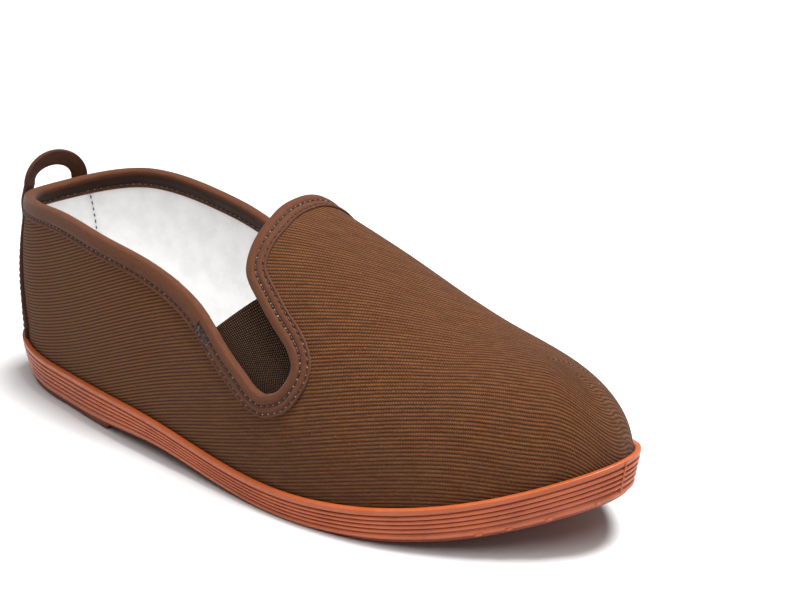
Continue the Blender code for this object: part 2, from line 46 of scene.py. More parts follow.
# the last that the shoe is made on, in millimetres: x from heel to toe, y to the inner side, z up
last = {
    "length": 270.0,
    "gap": 0.3,
    "rimWidth": 2.0,
    "rimHeight": 3.5,
    "heelRound": 38.0,
    "toeRound": 75.0,
    "heelPower": 2.15,
    "toePower": 2.1,
    "wall": 1.8,
    "spineStart": 34.0,
    "spineTurn": 215.0,
    "spineSpread": 0.5,
    "heelLean": 7.0,
    "leanReach": 55.0,
    "leanHeight": 60.0,
    "swellScale": 45.6,
    "notchX": 159.9,
    "tongueX": 138.8,
    "sectionColumns": ("x", "lateral", "medial", "rim", "edge", "ridge", "fullness", "bulge"),
    "sections": (
        (0.0, 21.8, 26.0, 17.8, 4.0, 165.0, 2.2, 2.2),
        (35.0, 27.6, 33.6, 16.0, 2.6, 165.0, 2.2, 2.2),
        (70.0, 35.7, 35.0, 16.0, 3.2, 155.0, 2.2, 2.0),
        (105.0, 41.5, 33.5, 14.6, 5.0, 114.0, 2.2, 1.5),
        (140.0, 46.8, 36.0, 10.9, 1.9, 90.7, 2.5, 1.0),
        (175.0, 50.2, 41.5, 10.2, 0.4, 76.6, 2.4, 0.8),
        (210.0, 46.6, 44.5, 14.2, 3.3, 61.8, 2.25, 0.2),
        (240.0, 40.3, 42.0, 21.4, 9.7, 56.0, 2.2, 0.0),
        (270.0, 32.7, 34.5, 32.8, 20.6, 50.0, 2.2, 0.0),
    ),
    "spine": ((0.0, 4.0), (34.0, 4.0), (105.0, 1.0), (175.0, 0.0), (215.0, 1.0), (270.0, 0.0)),
    "collarColumns": ("x", "lateral", "medial"),
    "collar": (
        (0.0, 73.0, 73.0), (15.0, 74.6, 76.2), (30.0, 75.4, 77.8), (52.0, 75.6, 77.4),
        (75.0, 72.9, 74.6), (97.0, 69.2, 70.6), (112.0, 64.9, 64.9),
    ),
    "quarterEdge": (  # x and height of the cut-out, from the collar down to its lowest point
        (112.0, 64.9), (121.2, 61.3), (129.9, 56.3), (140.6, 48.4), (150.3, 42.4), (155.4, 39.5),
        (159.9, 38.6),
    ),
    "tongueEdge": (  # and up along the tongue
        (159.9, 38.6), (164.6, 40.3), (168.4, 44.1), (170.1, 48.6), (169.0, 52.6), (164.9, 56.9),
        (158.7, 61.3), (150.3, 67.6), (144.4, 72.2), (141.4, 77.0), (140.3, 82.5), (140.1, 87.3),
    ),
    "edgeSpacing": (0.0, 0.05, 0.1, 0.15, 0.2, 0.27, 0.36, 0.47, 0.58, 0.69, 0.8, 0.9, 1.0),
    "stemShare": 0.33,
    "tackShare": 0.667,
}
smallStep = 1e-4  # for slopes on the last
weldDistance = 0.000004


def spline(xs, ys):
    xs, ys = np.asarray(xs, float), np.asarray(ys, float)
    count, step = len(xs), np.diff(xs)
    slope = np.diff(ys, axis=0) / step.reshape((-1,) + (1,) * (ys.ndim - 1))
    system, right = np.eye(count), np.zeros_like(ys)
    for i in range(1, count - 1):
        system[i, i - 1:i + 2] = (step[i - 1], 2 * (step[i - 1] + step[i]), step[i])
        right[i] = 6 * (slope[i] - slope[i - 1])
    bend = np.linalg.solve(system, right.reshape(count, -1)).reshape(ys.shape)

    def at(x):
        x = np.asarray(x, float)
        i = np.clip(np.searchsorted(xs, x) - 1, 0, count - 2)
        shape = x.shape + (1,) * (ys.ndim - 1)
        far = ((xs[i + 1] - x) / step[i]).reshape(shape)
        near = ((x - xs[i]) / step[i]).reshape(shape)
        size = (step[i] ** 2).reshape(shape) / 6
        curve = (far ** 3 - far) * bend[i] + (near ** 3 - near) * bend[i + 1]
        return far * ys[i] + near * ys[i + 1] + curve * size

    return at


def columnCurves(columns, rows):
    table = np.array(rows, float)
    return {name: spline(table[:, 0], table[:, i]) for i, name in enumerate(columns) if i}


section = columnCurves(last["sectionColumns"], last["sections"])
spine = columnCurves(("x", "y"), last["spine"])["y"]
collar = columnCurves(last["collarColumns"], last["collar"])


def station(s):
    return last["length"] * (0.5 - 0.5 * np.cos(np.pi * np.asarray(s, float)))


def stationOf(x):
    return np.arccos(1 - 2 * np.asarray(x, float) / last["length"]) / np.pi


def outline(side, s):  # outer edge of the sole in plan, side -1 is the outer side of the foot
    x = station(s)
    half = section["lateral" if side < 0 else "medial"](x)
    heel = np.clip(1 - x / last["heelRound"], 0, 1) ** last["heelPower"]
    toe = np.clip((x - last["length"] + last["toeRound"]) / last["toeRound"], 0, 1) ** last["toePower"]
    half = half * np.clip(1 - heel, 0, 1) ** (1 / last["heelPower"])
    half = half * np.clip(1 - toe, 0, 1) ** (1 / last["toePower"])
    return np.stack([x, side * half], -1)


def insetOutline(side, s, inset):
    s = np.asarray(s, float)
    run = outline(side, np.clip(s + smallStep, 0, 1)) - outline(side, np.clip(s - smallStep, 0, 1))
    run[..., 0] = np.where((s <= 0) | (s >= 1), 0, run[..., 0])
    run /= np.linalg.norm(run, axis=-1, keepdims=True)
    inward = np.stack([-run[..., 1], run[..., 0]], -1) * -side
    return outline(side, s) + inward * np.asarray(inset, float)[..., None]


def bedHeight(x):
    return section["rim"](x) - last["rimHeight"]


def skin(side, s, a):  # surface of the last: s runs heel to toe, a from the sole (0) to the ridge (1)
    s, a = np.broadcast_arrays(np.asarray(s, float), np.asarray(a, float))
    base = insetOutline(side, s, last["rimWidth"] + last["gap"])
    x = station(s)
    topX = np.clip(x, last["spineStart"], last["spineTurn"])
    topX = topX + last["spineSpread"] * np.clip(x - last["spineTurn"], 0, last["length"])
    top = np.stack([topX, spine(topX)], -1)
    power = 2 / section["fullness"](topX)
    out = np.clip(np.cos(a * np.pi / 2), 0, 1) ** power
    up = np.sin(a * np.pi / 2) ** power
    plan = top + (base - top) * out[..., None]
    foot = bedHeight(base[..., 0]) + last["gap"]
    z = foot + (section["ridge"](plan[..., 0]) - foot) * up
    away = base - top
    away /= np.linalg.norm(away, axis=-1, keepdims=True)
    swell = section["bulge"](topX) * last["swellScale"] * up ** 2 * (1 - up) ** 4
    plan = plan + away * swell[..., None]
    lean = np.clip(1 - base[..., 0] / last["leanReach"], 0, 1) ** 1.5
    forward = last["heelLean"] * lean * (np.clip(z - foot, 0, None) / last["leanHeight"]) ** 1.6
    return np.stack([plan[..., 0] + forward, plan[..., 1], z], -1)


def skinOf(sides, s, a):  # the same for places on both sides
    outerSide = np.asarray(sides) < 0
    if outerSide.all() or not outerSide.any():
        return skin(-1 if outerSide.all() else 1, s, a)
    return np.where(outerSide[..., None], skin(-1, s, a), skin(1, s, a))


def tangents(sides, s, a):
    s, a = np.broadcast_arrays(np.asarray(s, float), np.asarray(a, float))
    s0, s1 = np.clip(s - smallStep, 0, 1), np.clip(s + smallStep, 0, 1)
    a0, a1 = np.clip(a - smallStep, 0, 1), np.clip(a + smallStep, 0, 1)
    along = (skinOf(sides, s1, a) - skinOf(sides, s0, a)) / (s1 - s0)[..., None]
    upward = (skinOf(sides, s, a1) - skinOf(sides, s, a0)) / (a1 - a0)[..., None]
    return along, upward


def unit(vectors):
    return vectors / np.linalg.norm(vectors, axis=-1, keepdims=True)


def outward(sides, s, a):
    along, upward = tangents(sides, s, np.clip(a, 0.01, 0.985))
    return unit(np.cross(along, upward) * -np.asarray(sides)[..., None])


def locate(side, axis, targets):  # places where a plan axis (0 x, 1 y) and the height have given values
    targets = np.asarray(targets, float)
    s = stationOf(targets[:, 0]) if axis == 0 else np.abs(targets[:, 0]) / 250
    a = np.full(len(targets), 0.4)
    sides = np.full(len(targets), side)
    for step in range(30):
        miss = targets - skin(side, s, a)[:, (axis, 2)]
        along, upward = tangents(sides, s, a)
        m11, m12, m21, m22 = along[:, axis], upward[:, axis], along[:, 2], upward[:, 2]
        det = m11 * m22 - m12 * m21
        s = np.clip(s + np.clip((m22 * miss[:, 0] - m12 * miss[:, 1]) / det, -0.03, 0.03), 0.0005, 1)
        a = np.clip(a + np.clip((m11 * miss[:, 1] - m21 * miss[:, 0]) / det, -0.1, 0.1), 0.02, 0.995)
    return np.stack([s, a], -1)


def heightToA(side, s, height):
    a = np.linspace(0, 1, 400)
    return float(np.interp(height, skin(side, np.full_like(a, s), a)[:, 2], a))


def runLength(points):
    return np.concatenate([[0], np.cumsum(np.linalg.norm(np.diff(points, axis=0), axis=1))])


def alongCurve(points, shares):  # at shares of the length of a smooth curve
    points = np.asarray(points, float)
    run = runLength(points)
    fine = spline(run, points)(np.linspace(0, run[-1], 600))
    length = runLength(fine)
    at = np.asarray(shares) * length[-1]
    return np.stack([np.interp(at, length, column) for column in fine.T], -1)


def collarEdge(side, stations):
    heights = collar["lateral" if side < 0 else "medial"](station(stations))
    return np.array([(s, heightToA(side, s, height)) for s, height in zip(stations, heights)])


def quarterEdge(side, shares):  # from the lowest point of the cut-out up to the collar
    return locate(side, 0, alongCurve(last["quarterEdge"][::-1], shares))


def tongueEdge(side, shares):  # from the lowest point up the tongue to the ridge
    low = locate(side, 0, last["tongueEdge"])
    ridge = float(stationOf(last["tongueX"]))
    middle = (0.6 * ridge + 0.4 * low[-1, 0], 0.45 + 0.55 * low[-1, 1])
    scale = np.array([170.0, 110.0])
    return np.clip(alongCurve(np.vstack([low, middle, (ridge, 1.0)]) * scale, shares) / scale, 0, 1)


def edgeShares(rows):  # rows drawn together at the low end of the tongue's edge
    return np.interp(rows, np.linspace(0, 1, len(last["edgeSpacing"])), last["edgeSpacing"])


outsoleLow = np.vstack([outline(side, np.linspace(0, 1, 4000)) for side in (-1, 1)]).min(axis=0)
cadLow = np.array(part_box("outsole")[0]) * 1000
shift = np.append(cadLow[:2] - outsoleLow, 0.0)  # from the last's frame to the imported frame


def toWorld(points):
    return (np.asarray(points, float) + shift) * 0.001


# mesh makers

def addObject(name, data):
    made = bpy.data.objects.new(name, data)
    bpy.context.scene.collection.objects.link(made)
    return made


def newPiece(name, points, faces, material, uv=None, smooth=True):
    mesh = bpy.data.meshes.new(name)
    mesh.from_pydata([tuple(p) for p in toWorld(points)], [], [tuple(int(i) for i in f) for f in faces])
    if uv is not None:
        layer = mesh.uv_layers.new(name="cloth")
        corners = np.asarray(uv, float)
        loops = np.empty(len(mesh.loops), int)
        mesh.loops.foreach_get("vertex_index", loops)
        layer.data.foreach_set("uv", corners[loops].ravel())
    mesh.polygons.foreach_set("use_smooth", [smooth] * len(mesh.polygons))
    mesh.materials.append(material)
    mesh.update()
    return addObject(name, mesh)


def gridFaces(rows, cols, start=0, flip=False, closed=False):
    i, j = np.meshgrid(np.arange(rows - 1), np.arange(cols if closed else cols - 1), indexing="ij")
    k = (j + 1) % cols
    quads = np.stack([i * cols + j, (i + 1) * cols + j, (i + 1) * cols + k, i * cols + k], -1).reshape(-1, 4)
    return (quads[:, ::-1] if flip else quads) + start


def barFaces(rows, cols):  # rings joined up, with flat ends
    ends = [tuple(range(cols)), tuple(range((rows - 1) * cols, rows * cols))[::-1]]
    return list(gridFaces(rows, cols, closed=True)) + ends


def slabFaces(rows, cols):  # rings joined up, the first and the last closed across
    faces = list(gridFaces(rows, cols, closed=True))
    for row in (0, rows - 1):
        for i in range(cols // 2):
            loop = (i, i + 1, (cols - i - 1) % cols, (cols - i) % cols)
            ring = list(dict.fromkeys(row * cols + k for k in loop))
            if len(ring) > 2:
                faces.append(ring)
    return faces


def editMesh(piece, change):
    mesh = bmesh.new()
    mesh.from_mesh(piece.data)
    change(mesh)
    mesh.to_mesh(piece.data)
    mesh.free()


def weld(piece):
    editMesh(piece, lambda mesh: bmesh.ops.remove_doubles(mesh, verts=mesh.verts[:], dist=weldDistance))


def fixNormals(piece):
    editMesh(piece, lambda mesh: bmesh.ops.recalc_face_normals(mesh, faces=mesh.faces[:]))


def thicken(piece, outer, inner):  # an open skin becomes a closed wall between two depths below it
    def makeWall(mesh):
        mesh.normal_update()
        uvLayer = mesh.loops.layers.uv.active
        skinVerts, skinFaces = mesh.verts[:], mesh.faces[:]
        border = [edge for edge in mesh.edges if len(edge.link_faces) == 1]
        normals = {v: v.normal.copy() for v in skinVerts}
        inside = {v: mesh.verts.new(v.co - normals[v] * inner * 0.001) for v in skinVerts}
        for v in skinVerts:
            v.co = v.co - normals[v] * outer * 0.001
        for face in skinFaces:
            back = mesh.faces.new([inside[v] for v in reversed(face.verts)])
            back.smooth = True
            for loop, source in zip(back.loops, reversed(face.loops)):
                loop[uvLayer].uv = source[uvLayer].uv
        for edge in border:
            loop = edge.link_loops[0]
            first, second = loop.vert, loop.link_loop_next.vert
            rim = mesh.faces.new((second, first, inside[first], inside[second]))
            for corner in rim.loops:
                corner[uvLayer].uv = loop[uvLayer].uv

    editMesh(piece, makeWall)


def finishPiece(piece, slotName, *nodes):
    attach(piece, "root")
    if nodes:
        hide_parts(*nodes)
    print(piece.name, len(piece.data.polygons), "faces")
    return piece


# node helpers

def wire(tree, kind, inputs=None, **settings):
    node = tree.nodes.new(kind)
    for key, value in settings.items():
        setattr(node, key, value)
    for key, value in (inputs or {}).items():
        if isinstance(value, bpy.types.NodeSocket):
            tree.links.new(value, node.inputs[key])
        else:
            node.inputs[key].default_value = value
    return node


def calc(tree, operation, *values):
    return wire(tree, "ShaderNodeMath", dict(enumerate(values)), operation=operation).outputs[0]


def noise(tree, vector, scale, detail=3.0, roughness=0.55):
    values = {"Vector": vector, "Scale": scale, "Detail": detail, "Roughness": roughness}
    return wire(tree, "ShaderNodeTexNoise", values).outputs[0]


def stretch(tree, vector, scale):
    return wire(tree, "ShaderNodeVectorMath", {0: vector, 1: scale}, operation="MULTIPLY").outputs[0]


def rangeOf(tree, value, low, high, newLow=0.0, newHigh=1.0):
    values = {0: value, 1: low, 2: high, 3: newLow, 4: newHigh}
    return wire(tree, "ShaderNodeMapRange", values, interpolation_type="SMOOTHSTEP").outputs[0]


def mixColour(tree, factor, first, second):
    return wire(tree, "ShaderNodeMix", {0: factor, 6: first, 7: second}, data_type="RGBA").outputs[2]


def foldOf(tree, value):  # 0 in the middle of a repeat, 1 at both of its ends
    return calc(tree, "ABSOLUTE", calc(tree, "SUBTRACT", calc(tree, "MULTIPLY", value, 2.0), 1.0))


def tone(red, green, blue):  # a colour as read off a screen
    channels = [(c / 255) ** 2.2 for c in (red, green, blue)]
    return (*channels, 1.0)


def newGroup(name, kind, inputs, outputs):
    group = bpy.data.node_groups.new(name, kind)
    for label, (socket, value) in inputs.items():
        made = group.interface.new_socket(name=label, in_out="INPUT", socket_type="NodeSocket" + socket)
        if value is not None:
            made.default_value = value
    for label, socket in outputs.items():
        group.interface.new_socket(name=label, in_out="OUTPUT", socket_type="NodeSocket" + socket)
    return group, group.nodes.new("NodeGroupInput").outputs, group.nodes.new("NodeGroupOutput").inputs


def giveOut(group, result, values):
    for label, socket in values.items():
        group.links.new(socket, result[label])


def newMaterial(name, finish):
    material = bpy.data.materials.new(name)
    material.use_nodes = True
    shader = material.node_tree.nodes["Principled BSDF"]
    for label, value in finish.items():
        shader.inputs[label].default_value = value
    return material, material.node_tree, shader


def addBump(tree, shader, height, strength, distance):
    bump = wire(tree, "ShaderNodeBump", {"Strength": strength, "Distance": distance, "Height": height})
    tree.links.new(bump.outputs[0], shader.inputs["Normal"])


# shared effects

twill = {  # the weave of the upper cloth, lengths in millimetres
    "wander": 0.16,
    "wanderScale": 0.3,
    "ribPower": 1.4,
    "dipPower": 2.5,
    "dipDepth": 0.5,
    "waleOffset": 0.37,
    "slant": 0.9,
    "fleckStretch": (0.85, 1.5, 1.0),
    "fleckHeight": 0.35,
    "slubStretch": (0.12, 0.64, 1.0),
    "fadeScale": 0.05,
}


def makeTwillGroup():
    inputs = {"Vector": ("Vector", None), "Spacing": ("Float", 1.55), "Float": ("Float", 1.1)}
    outputs = dict.fromkeys(("Height", "Groove", "Slub", "Fleck", "Fade"), "Float")
    group, given, result = newGroup("twillWales", "ShaderNodeTree", inputs, outputs)
    vector = given["Vector"]
    parts = wire(group, "ShaderNodeSeparateXYZ", {0: vector}).outputs
    stray = calc(group, "SUBTRACT", noise(group, vector, twill["wanderScale"], 2.0), 0.5)
    wander = calc(group, "MULTIPLY", stray, twill["wander"])
    phase = calc(group, "DIVIDE", calc(group, "ADD", parts[1], wander), given["Spacing"])
    inside = calc(group, "FRACT", phase)
    wale = calc(group, "FLOOR", phase)
    rib = calc(group, "SUBTRACT", 1.0, calc(group, "POWER", foldOf(group, inside), twill["ribPower"]))
    slant = calc(group, "MULTIPLY", inside, twill["slant"])
    slant = calc(group, "ADD", calc(group, "MULTIPLY", wale, twill["waleOffset"]), slant)
    pick = calc(group, "FRACT", calc(group, "ADD", calc(group, "DIVIDE", parts[0], given["Float"]), slant))
    dip = calc(group, "POWER", foldOf(group, pick), twill["dipPower"])
    fleck = noise(group, stretch(group, vector, twill["fleckStretch"]), 1.0, 3.0, 0.75)
    body = calc(group, "SUBTRACT", rib, calc(group, "MULTIPLY", dip, twill["dipDepth"]))
    giveOut(group, result, {
        "Height": calc(group, "ADD", body, calc(group, "MULTIPLY", fleck, twill["fleckHeight"])),
        "Groove": calc(group, "SUBTRACT", 1.0, body),
        "Slub": noise(group, stretch(group, vector, twill["slubStretch"]), 1.0, 4.0, 0.7),
        "Fleck": fleck,
        "Fade": noise(group, vector, twill["fadeScale"], 4.0, 0.6),
    })
    return group


def makeWeaveGroup():
    inputs = {"Vector": ("Vector", None), "Across": ("Float", 2.0), "Along": ("Float", 2.0)}
    outputs = dict.fromkeys(("Height", "Cloud"), "Float")
    group, given, result = newGroup("plainWeave", "ShaderNodeTree", inputs, outputs)
    parts = wire(group, "ShaderNodeSeparateXYZ", {0: given["Vector"]}).outputs
    waves = []
    for axis, rate in ((0, given["Across"]), (1, given["Along"])):
        turn = calc(group, "MULTIPLY", calc(group, "MULTIPLY", parts[axis], rate), math.tau)
        waves.append(calc(group, "SINE", turn))
    over = calc(group, "MULTIPLY", *waves)
    fuzz = noise(group, given["Vector"], 2.5, 3.0, 0.7)
    giveOut(group, result, {
        "Height": calc(group, "ADD", calc(group, "MULTIPLY", over, 0.5), fuzz),
        "Cloud": noise(group, given["Vector"], 0.12, 4.0, 0.6),
    })
    return group


def makeGrainGroup():
    inputs = {"Vector": ("Vector", None), "Scale": ("Float", 900.0)}
    outputs = dict.fromkeys(("Height", "Cloud"), "Float")
    group, given, result = newGroup("mouldedGrain", "ShaderNodeTree", inputs, outputs)
    giveOut(group, result, {
        "Height": noise(group, given["Vector"], given["Scale"], 2.0, 0.6),
        "Cloud": noise(group, given["Vector"], 60.0, 4.0, 0.6),
    })
    return group


twillGroup = makeTwillGroup()
weaveGroup = makeWeaveGroup()
grainGroup = makeGrainGroup()


def useGroup(tree, group, inputs):
    return wire(tree, "ShaderNodeGroup", inputs, node_tree=group).outputs


def uvOf(tree):
    return wire(tree, "ShaderNodeUVMap", uv_map="cloth").outputs[0]


def objectOf(tree):
    return wire(tree, "ShaderNodeTexCoord").outputs["Object"]


# upper cloth: ribbed twill cut in one piece, joined at the heel

upperCloth = {
    "thickness": 1.0,
    "flat": (0.27, 0.3),
    "quarterSteps": 96,
    "vampSteps": 80,
    "stemRows": 36,
    "edgeRows": 54,
    "waleSpacing": 1.28,
    "floatLength": 0.8,
    "waleRise": (  # how far the wales climb over the foot bed's x
        (0, 0), (50, 15), (100, 36), (150, 57), (200, 69), (235, 66), (252, 59), (264, 49), (270, 37),
    ),
    "medialLean": 0.75,
    "finish": {"Roughness": 0.95, "Sheen Weight": 0.06, "Sheen Roughness": 0.5, "Specular IOR Level": 0.1},
    "yarn": tone(86, 53, 33),
    "dyes": (  # what the yarn varies by, where that starts and is full, its share and tone
        ("Slub", 0.32, 0.68, 1.0, tone(109, 71, 45)),
        ("Fleck", 0.5, 0.64, 0.75, tone(97, 50, 35)),
        ("Fleck", 0.5, 0.36, 0.75, tone(97, 69, 36)),
        ("Fade", 0.5, 0.75, 0.3, tone(92, 61, 40)),
    ),
    # lighter yarn towards the heel: where it ramps in along the sole's edge, its share and its tone
    "heelRamp": (190.0, 90.0),
    "heelYarnShare": 0.6,
    "heelYarn": tone(120, 78, 44),
    # painted shade in the wale grooves: where it ramps in over the groove mask, its share, more of it towards
    # the heel, and its dark tone
    "groove": (0.15, 1.05),
    "grooveShadeShare": 0.76,
    "heelShadeShare": 0.2,
    "dark": tone(33, 18, 11),
    "speckRange": (0.66, 0.74, 0.0, 0.5),
    "speck": tone(128, 92, 62),
}


def makeTwill():
    material, tree, shader = newMaterial("twill", upperCloth["finish"])
    place = uvOf(tree)
    wales = useGroup(tree, twillGroup, {
        "Vector": place, "Spacing": upperCloth["waleSpacing"], "Float": upperCloth["floatLength"]})
    colour = upperCloth["yarn"]
    for mask, low, high, share, dye in upperCloth["dyes"]:
        colour = mixColour(tree, rangeOf(tree, wales[mask], low, high, 0.0, share), colour, dye)
    along = wire(tree, "ShaderNodeSeparateXYZ", {0: place}).outputs[0]
    heel = rangeOf(tree, along, *upperCloth["heelRamp"])  # towards the heel: lighter yarn, and more painted groove shade
    heelYarn = calc(tree, "MULTIPLY", heel, upperCloth["heelYarnShare"])
    colour = mixColour(tree, heelYarn, colour, upperCloth["heelYarn"])
    # painted shade darkens the wale grooves, more of it towards the heel
    heelShadeExtra = calc(tree, "MULTIPLY", heel, upperCloth["heelShadeShare"])
    depth = calc(tree, "ADD", upperCloth["grooveShadeShare"], heelShadeExtra)
    shaded = calc(tree, "MULTIPLY", rangeOf(tree, wales["Groove"], *upperCloth["groove"]), depth)
    colour = mixColour(tree, shaded, colour, upperCloth["dark"])
    specks = rangeOf(tree, noise(tree, place, 1.5, 1.0), *upperCloth["speckRange"])
    colour = mixColour(tree, specks, colour, upperCloth["speck"])
    tree.links.new(colour, shader.inputs["Base Color"])
    addBump(tree, shader, wales["Height"], 0.7, 0.0004)
    return material


def gridSample(table, s, a):  # bilinear reading of a table on the unit square
    rows, cols = table.shape
    i = np.clip(s * (rows - 1), 0, rows - 1.001)
    j = np.clip(a * (cols - 1), 0, cols - 1.001)
    i0, j0 = i.astype(int), j.astype(int)
    fi, fj = i - i0, j - j0
    low = table[i0, j0] * (1 - fj) + table[i0, j0 + 1] * fj
    high = table[i0 + 1, j0] * (1 - fj) + table[i0 + 1, j0 + 1] * fj
    return low * (1 - fi) + high * fi


tableS, tableA = np.meshgrid(np.linspace(0, 1, 220), np.linspace(0, 1, 160), indexing="ij")
edgeSteps = np.linspace(0, 1, 1200)
climbTable = {}
edgeRun = {}
for side in (-1, 1):
    steps = np.linalg.norm(np.diff(skin(side, tableS, tableA), axis=1), axis=2)
    climbTable[side] = np.concatenate([np.zeros((len(steps), 1)), np.cumsum(steps, axis=1)], axis=1)
    edgeRun[side] = runLength(outline(side, edgeSteps))
waleRise = spline(*np.array(upperCloth["waleRise"], float).T)


def flatMap(side, s, a):  # length along the sole's edge and up the skin, in millimetres
    return np.stack([np.interp(s, edgeSteps, edgeRun[side]), gridSample(climbTable[side], s, a)], -1)


def waleMap(side, s, a):  # the same along the wales and across them
    x = station(s)
    run, climb = np.moveaxis(flatMap(side, s, a), -1, 0)
    if side < 0:
        return np.stack([run, climb - waleRise(x)], -1)
    lean = upperCloth["medialLean"]

    def overRidge(place):  # lines cross the ridge from the outer side
        at = stationOf(place)
        full = [gridSample(climbTable[way], at, np.ones_like(at)) for way in (-1, 1)]
        return full[0] + lean * full[1] - waleRise(place)

    rear = last["tongueX"] - 1.0
    reach = 4.0
    start = overRidge(np.array([rear, rear + reach]))
    straight = start[0] + (start[1] - start[0]) / reach * (x - rear)
    front = overRidge(np.maximum(x, rear))
    return np.stack([run, np.where(x > rear, front, straight) - lean * climb], -1)


quarterEnd = float(stationOf(last["notchX"]))
cornerEnd = float(stationOf(last["collar"][-1][0]))


def blendPatch(low, high, left, right, shares):  # grid between four border curves
    u = np.linspace(0, 1, len(low))[:, None, None]
    w = shares[None, :, None]
    flat = (1 - u) * left[None] + u * right[None] + (1 - w) * low[:, None] + w * high[:, None]
    corners = (1 - u) * (1 - w) * low[0] + u * (1 - w) * low[-1] + (1 - u) * w * high[0] + u * w * high[-1]
    return flat - corners


def upperPatches(side, sizes):  # quarter and vamp of one side as grids of places on the last
    stem = np.linspace(0, 1, sizes["stemRows"])[:, None]
    rows = np.linspace(0, 1, sizes["edgeRows"])
    tongue = tongueEdge(side, edgeShares(rows))
    stemShare = last["stemShare"]
    shares = np.concatenate([stem[:, 0] * stemShare, stemShare + (1 - stemShare) * rows[1:]])
    rear = int(sizes["quarterSteps"] * cornerEnd / tongue[0, 0])
    top = collarEdge(side, np.linspace(0, cornerEnd, rear))
    edge = quarterEdge(side, np.linspace(0, 1, 200))[::-1]
    edgeS = np.linspace(cornerEnd, tongue[0, 0], sizes["quarterSteps"] - rear + 1)[1:]
    top = np.vstack([top, np.stack([edgeS, np.interp(edgeS, edge[:, 0], edge[:, 1])], -1)])
    top[-1] = tongue[0]
    low = np.stack([top[:, 0] * quarterEnd / tongue[0, 0], np.zeros(len(top))], -1)
    quarter = low[:, None] + (top - low)[:, None] * stem[None]
    stemLine = low[-1] + (tongue[0] - low[-1]) * stem
    vampLow = np.stack([np.linspace(quarterEnd, 1, sizes["vampSteps"]), np.zeros(sizes["vampSteps"])], -1)
    vampHigh = np.stack([np.linspace(tongue[-1, 0], 1, sizes["vampSteps"]), np.ones(sizes["vampSteps"])], -1)
    toe = vampLow[-1] + (vampHigh[-1] - vampLow[-1]) * shares[:, None]
    vamp = blendPatch(vampLow, vampHigh, np.vstack([stemLine, tongue[1:]]), toe, shares)
    return quarter, vamp


def makeShell(name, sizes, material, relief, uvMaker):
    points, faces, uv, count = [], [], [], 0
    for side in (-1, 1):
        for patch in upperPatches(side, sizes):
            s, a = np.clip(patch[..., 0], 0, 1), np.clip(patch[..., 1], 0, 1)
            place = skin(side, s, a)
            place = place + outward(np.full(s.shape, side), s, a) * relief(side, s, a, place)[..., None]
            points.append(place.reshape(-1, 3))
            uv.append(uvMaker(side, s, a).reshape(-1, 2))
            faces.append(gridFaces(*s.shape, count, side > 0))
            count += s.size
    piece = newPiece(name, np.vstack(points), np.vstack(faces), material, np.vstack(uv))
    weld(piece)
    return piece


creases = {  # troughs and ridges: side, start and end as x and height, half width, depth
    "notch pull": (-1, (150, 17), (160, 33), 7.0, 0.5),
    "quarter sag": (-1, (96, 24), (122, 52), 13.0, 0.5),
    "heel hollow": (-1, (30, 32), (44, 62), 12.0, 0.35),
    "vamp hollow": (-1, (182, 24), (176, 56), 12.0, 0.45),
    "toe ripple": (-1, (232, 24), (224, 40), 7.0, 0.3),
    "toe ridge": (-1, (246, 30), (238, 42), 6.0, -0.25),
    "inner sag": (1, (92, 26), (120, 50), 12.0, 0.5),
    "inner vamp hollow": (1, (186, 22), (178, 52), 12.0, 0.45),
    "inner toe ripple": (1, (236, 26), (228, 42), 7.0, 0.3),
}


def creaseRelief(side, s, a, place):
    lift = np.zeros(s.shape)
    for way, start, end, width, depth in creases.values():
        if way != side:
            continue
        start, end = np.array(start, float), np.array(end, float)
        flat = place[..., (0, 2)]
        run = end - start
        share = np.clip(((flat - start) @ run) / (run @ run), 0, 1)
        near = np.linalg.norm(flat - start - share[..., None] * run, axis=-1)
        fade = np.sin(np.pi * np.clip(share, 0.15, 0.85))
        lift -= depth * fade * np.exp(-(near / width) ** 2)
    # held flat at the sole, and even at the ridge so that both sides meet
    return lift * np.clip(a / 0.12, 0, 1) * np.clip((1 - a) / 0.2, 0, 1) ** 2


upperPiece = makeShell("upperCloth", upperCloth, makeTwill(), creaseRelief, waleMap)
thicken(upperPiece, 0.0, upperCloth["thickness"])
finishPiece(upperPiece, "upper", "upper")


# lining: white cotton, with a heel patch that overlaps at two stitched seams

lining = {
    "outer": 1.05,
    "inner": 1.75,
    "flat": (0.27, 0.3),
    "quarterSteps": 90,
    "vampSteps": 56,
    "stemRows": 34,
    "edgeRows": 40,
    "patchX": 14.0,
    "patchStep": 0.35,
    "slack": 0.3,
    "slowWave": 0.28,
    "quickWave": 0.16,
    "threads": 1.6,
    "bump": 0.35,
    "white": tone(248, 248, 249),
    "shade": tone(238, 238, 240),
}


def makeCotton(name, cotton):
    material, tree, shader = newMaterial(name, {"Roughness": 0.95, "Specular IOR Level": 0.15})
    weave = useGroup(tree, weaveGroup, {
        "Vector": uvOf(tree), "Across": cotton["threads"], "Along": cotton["threads"]})
    colour = mixColour(tree, rangeOf(tree, weave["Cloud"], 0.35, 0.7), cotton["white"], cotton["shade"])
    tree.links.new(colour, shader.inputs["Base Color"])
    addBump(tree, shader, weave["Height"], cotton["bump"], 0.0003)
    return material


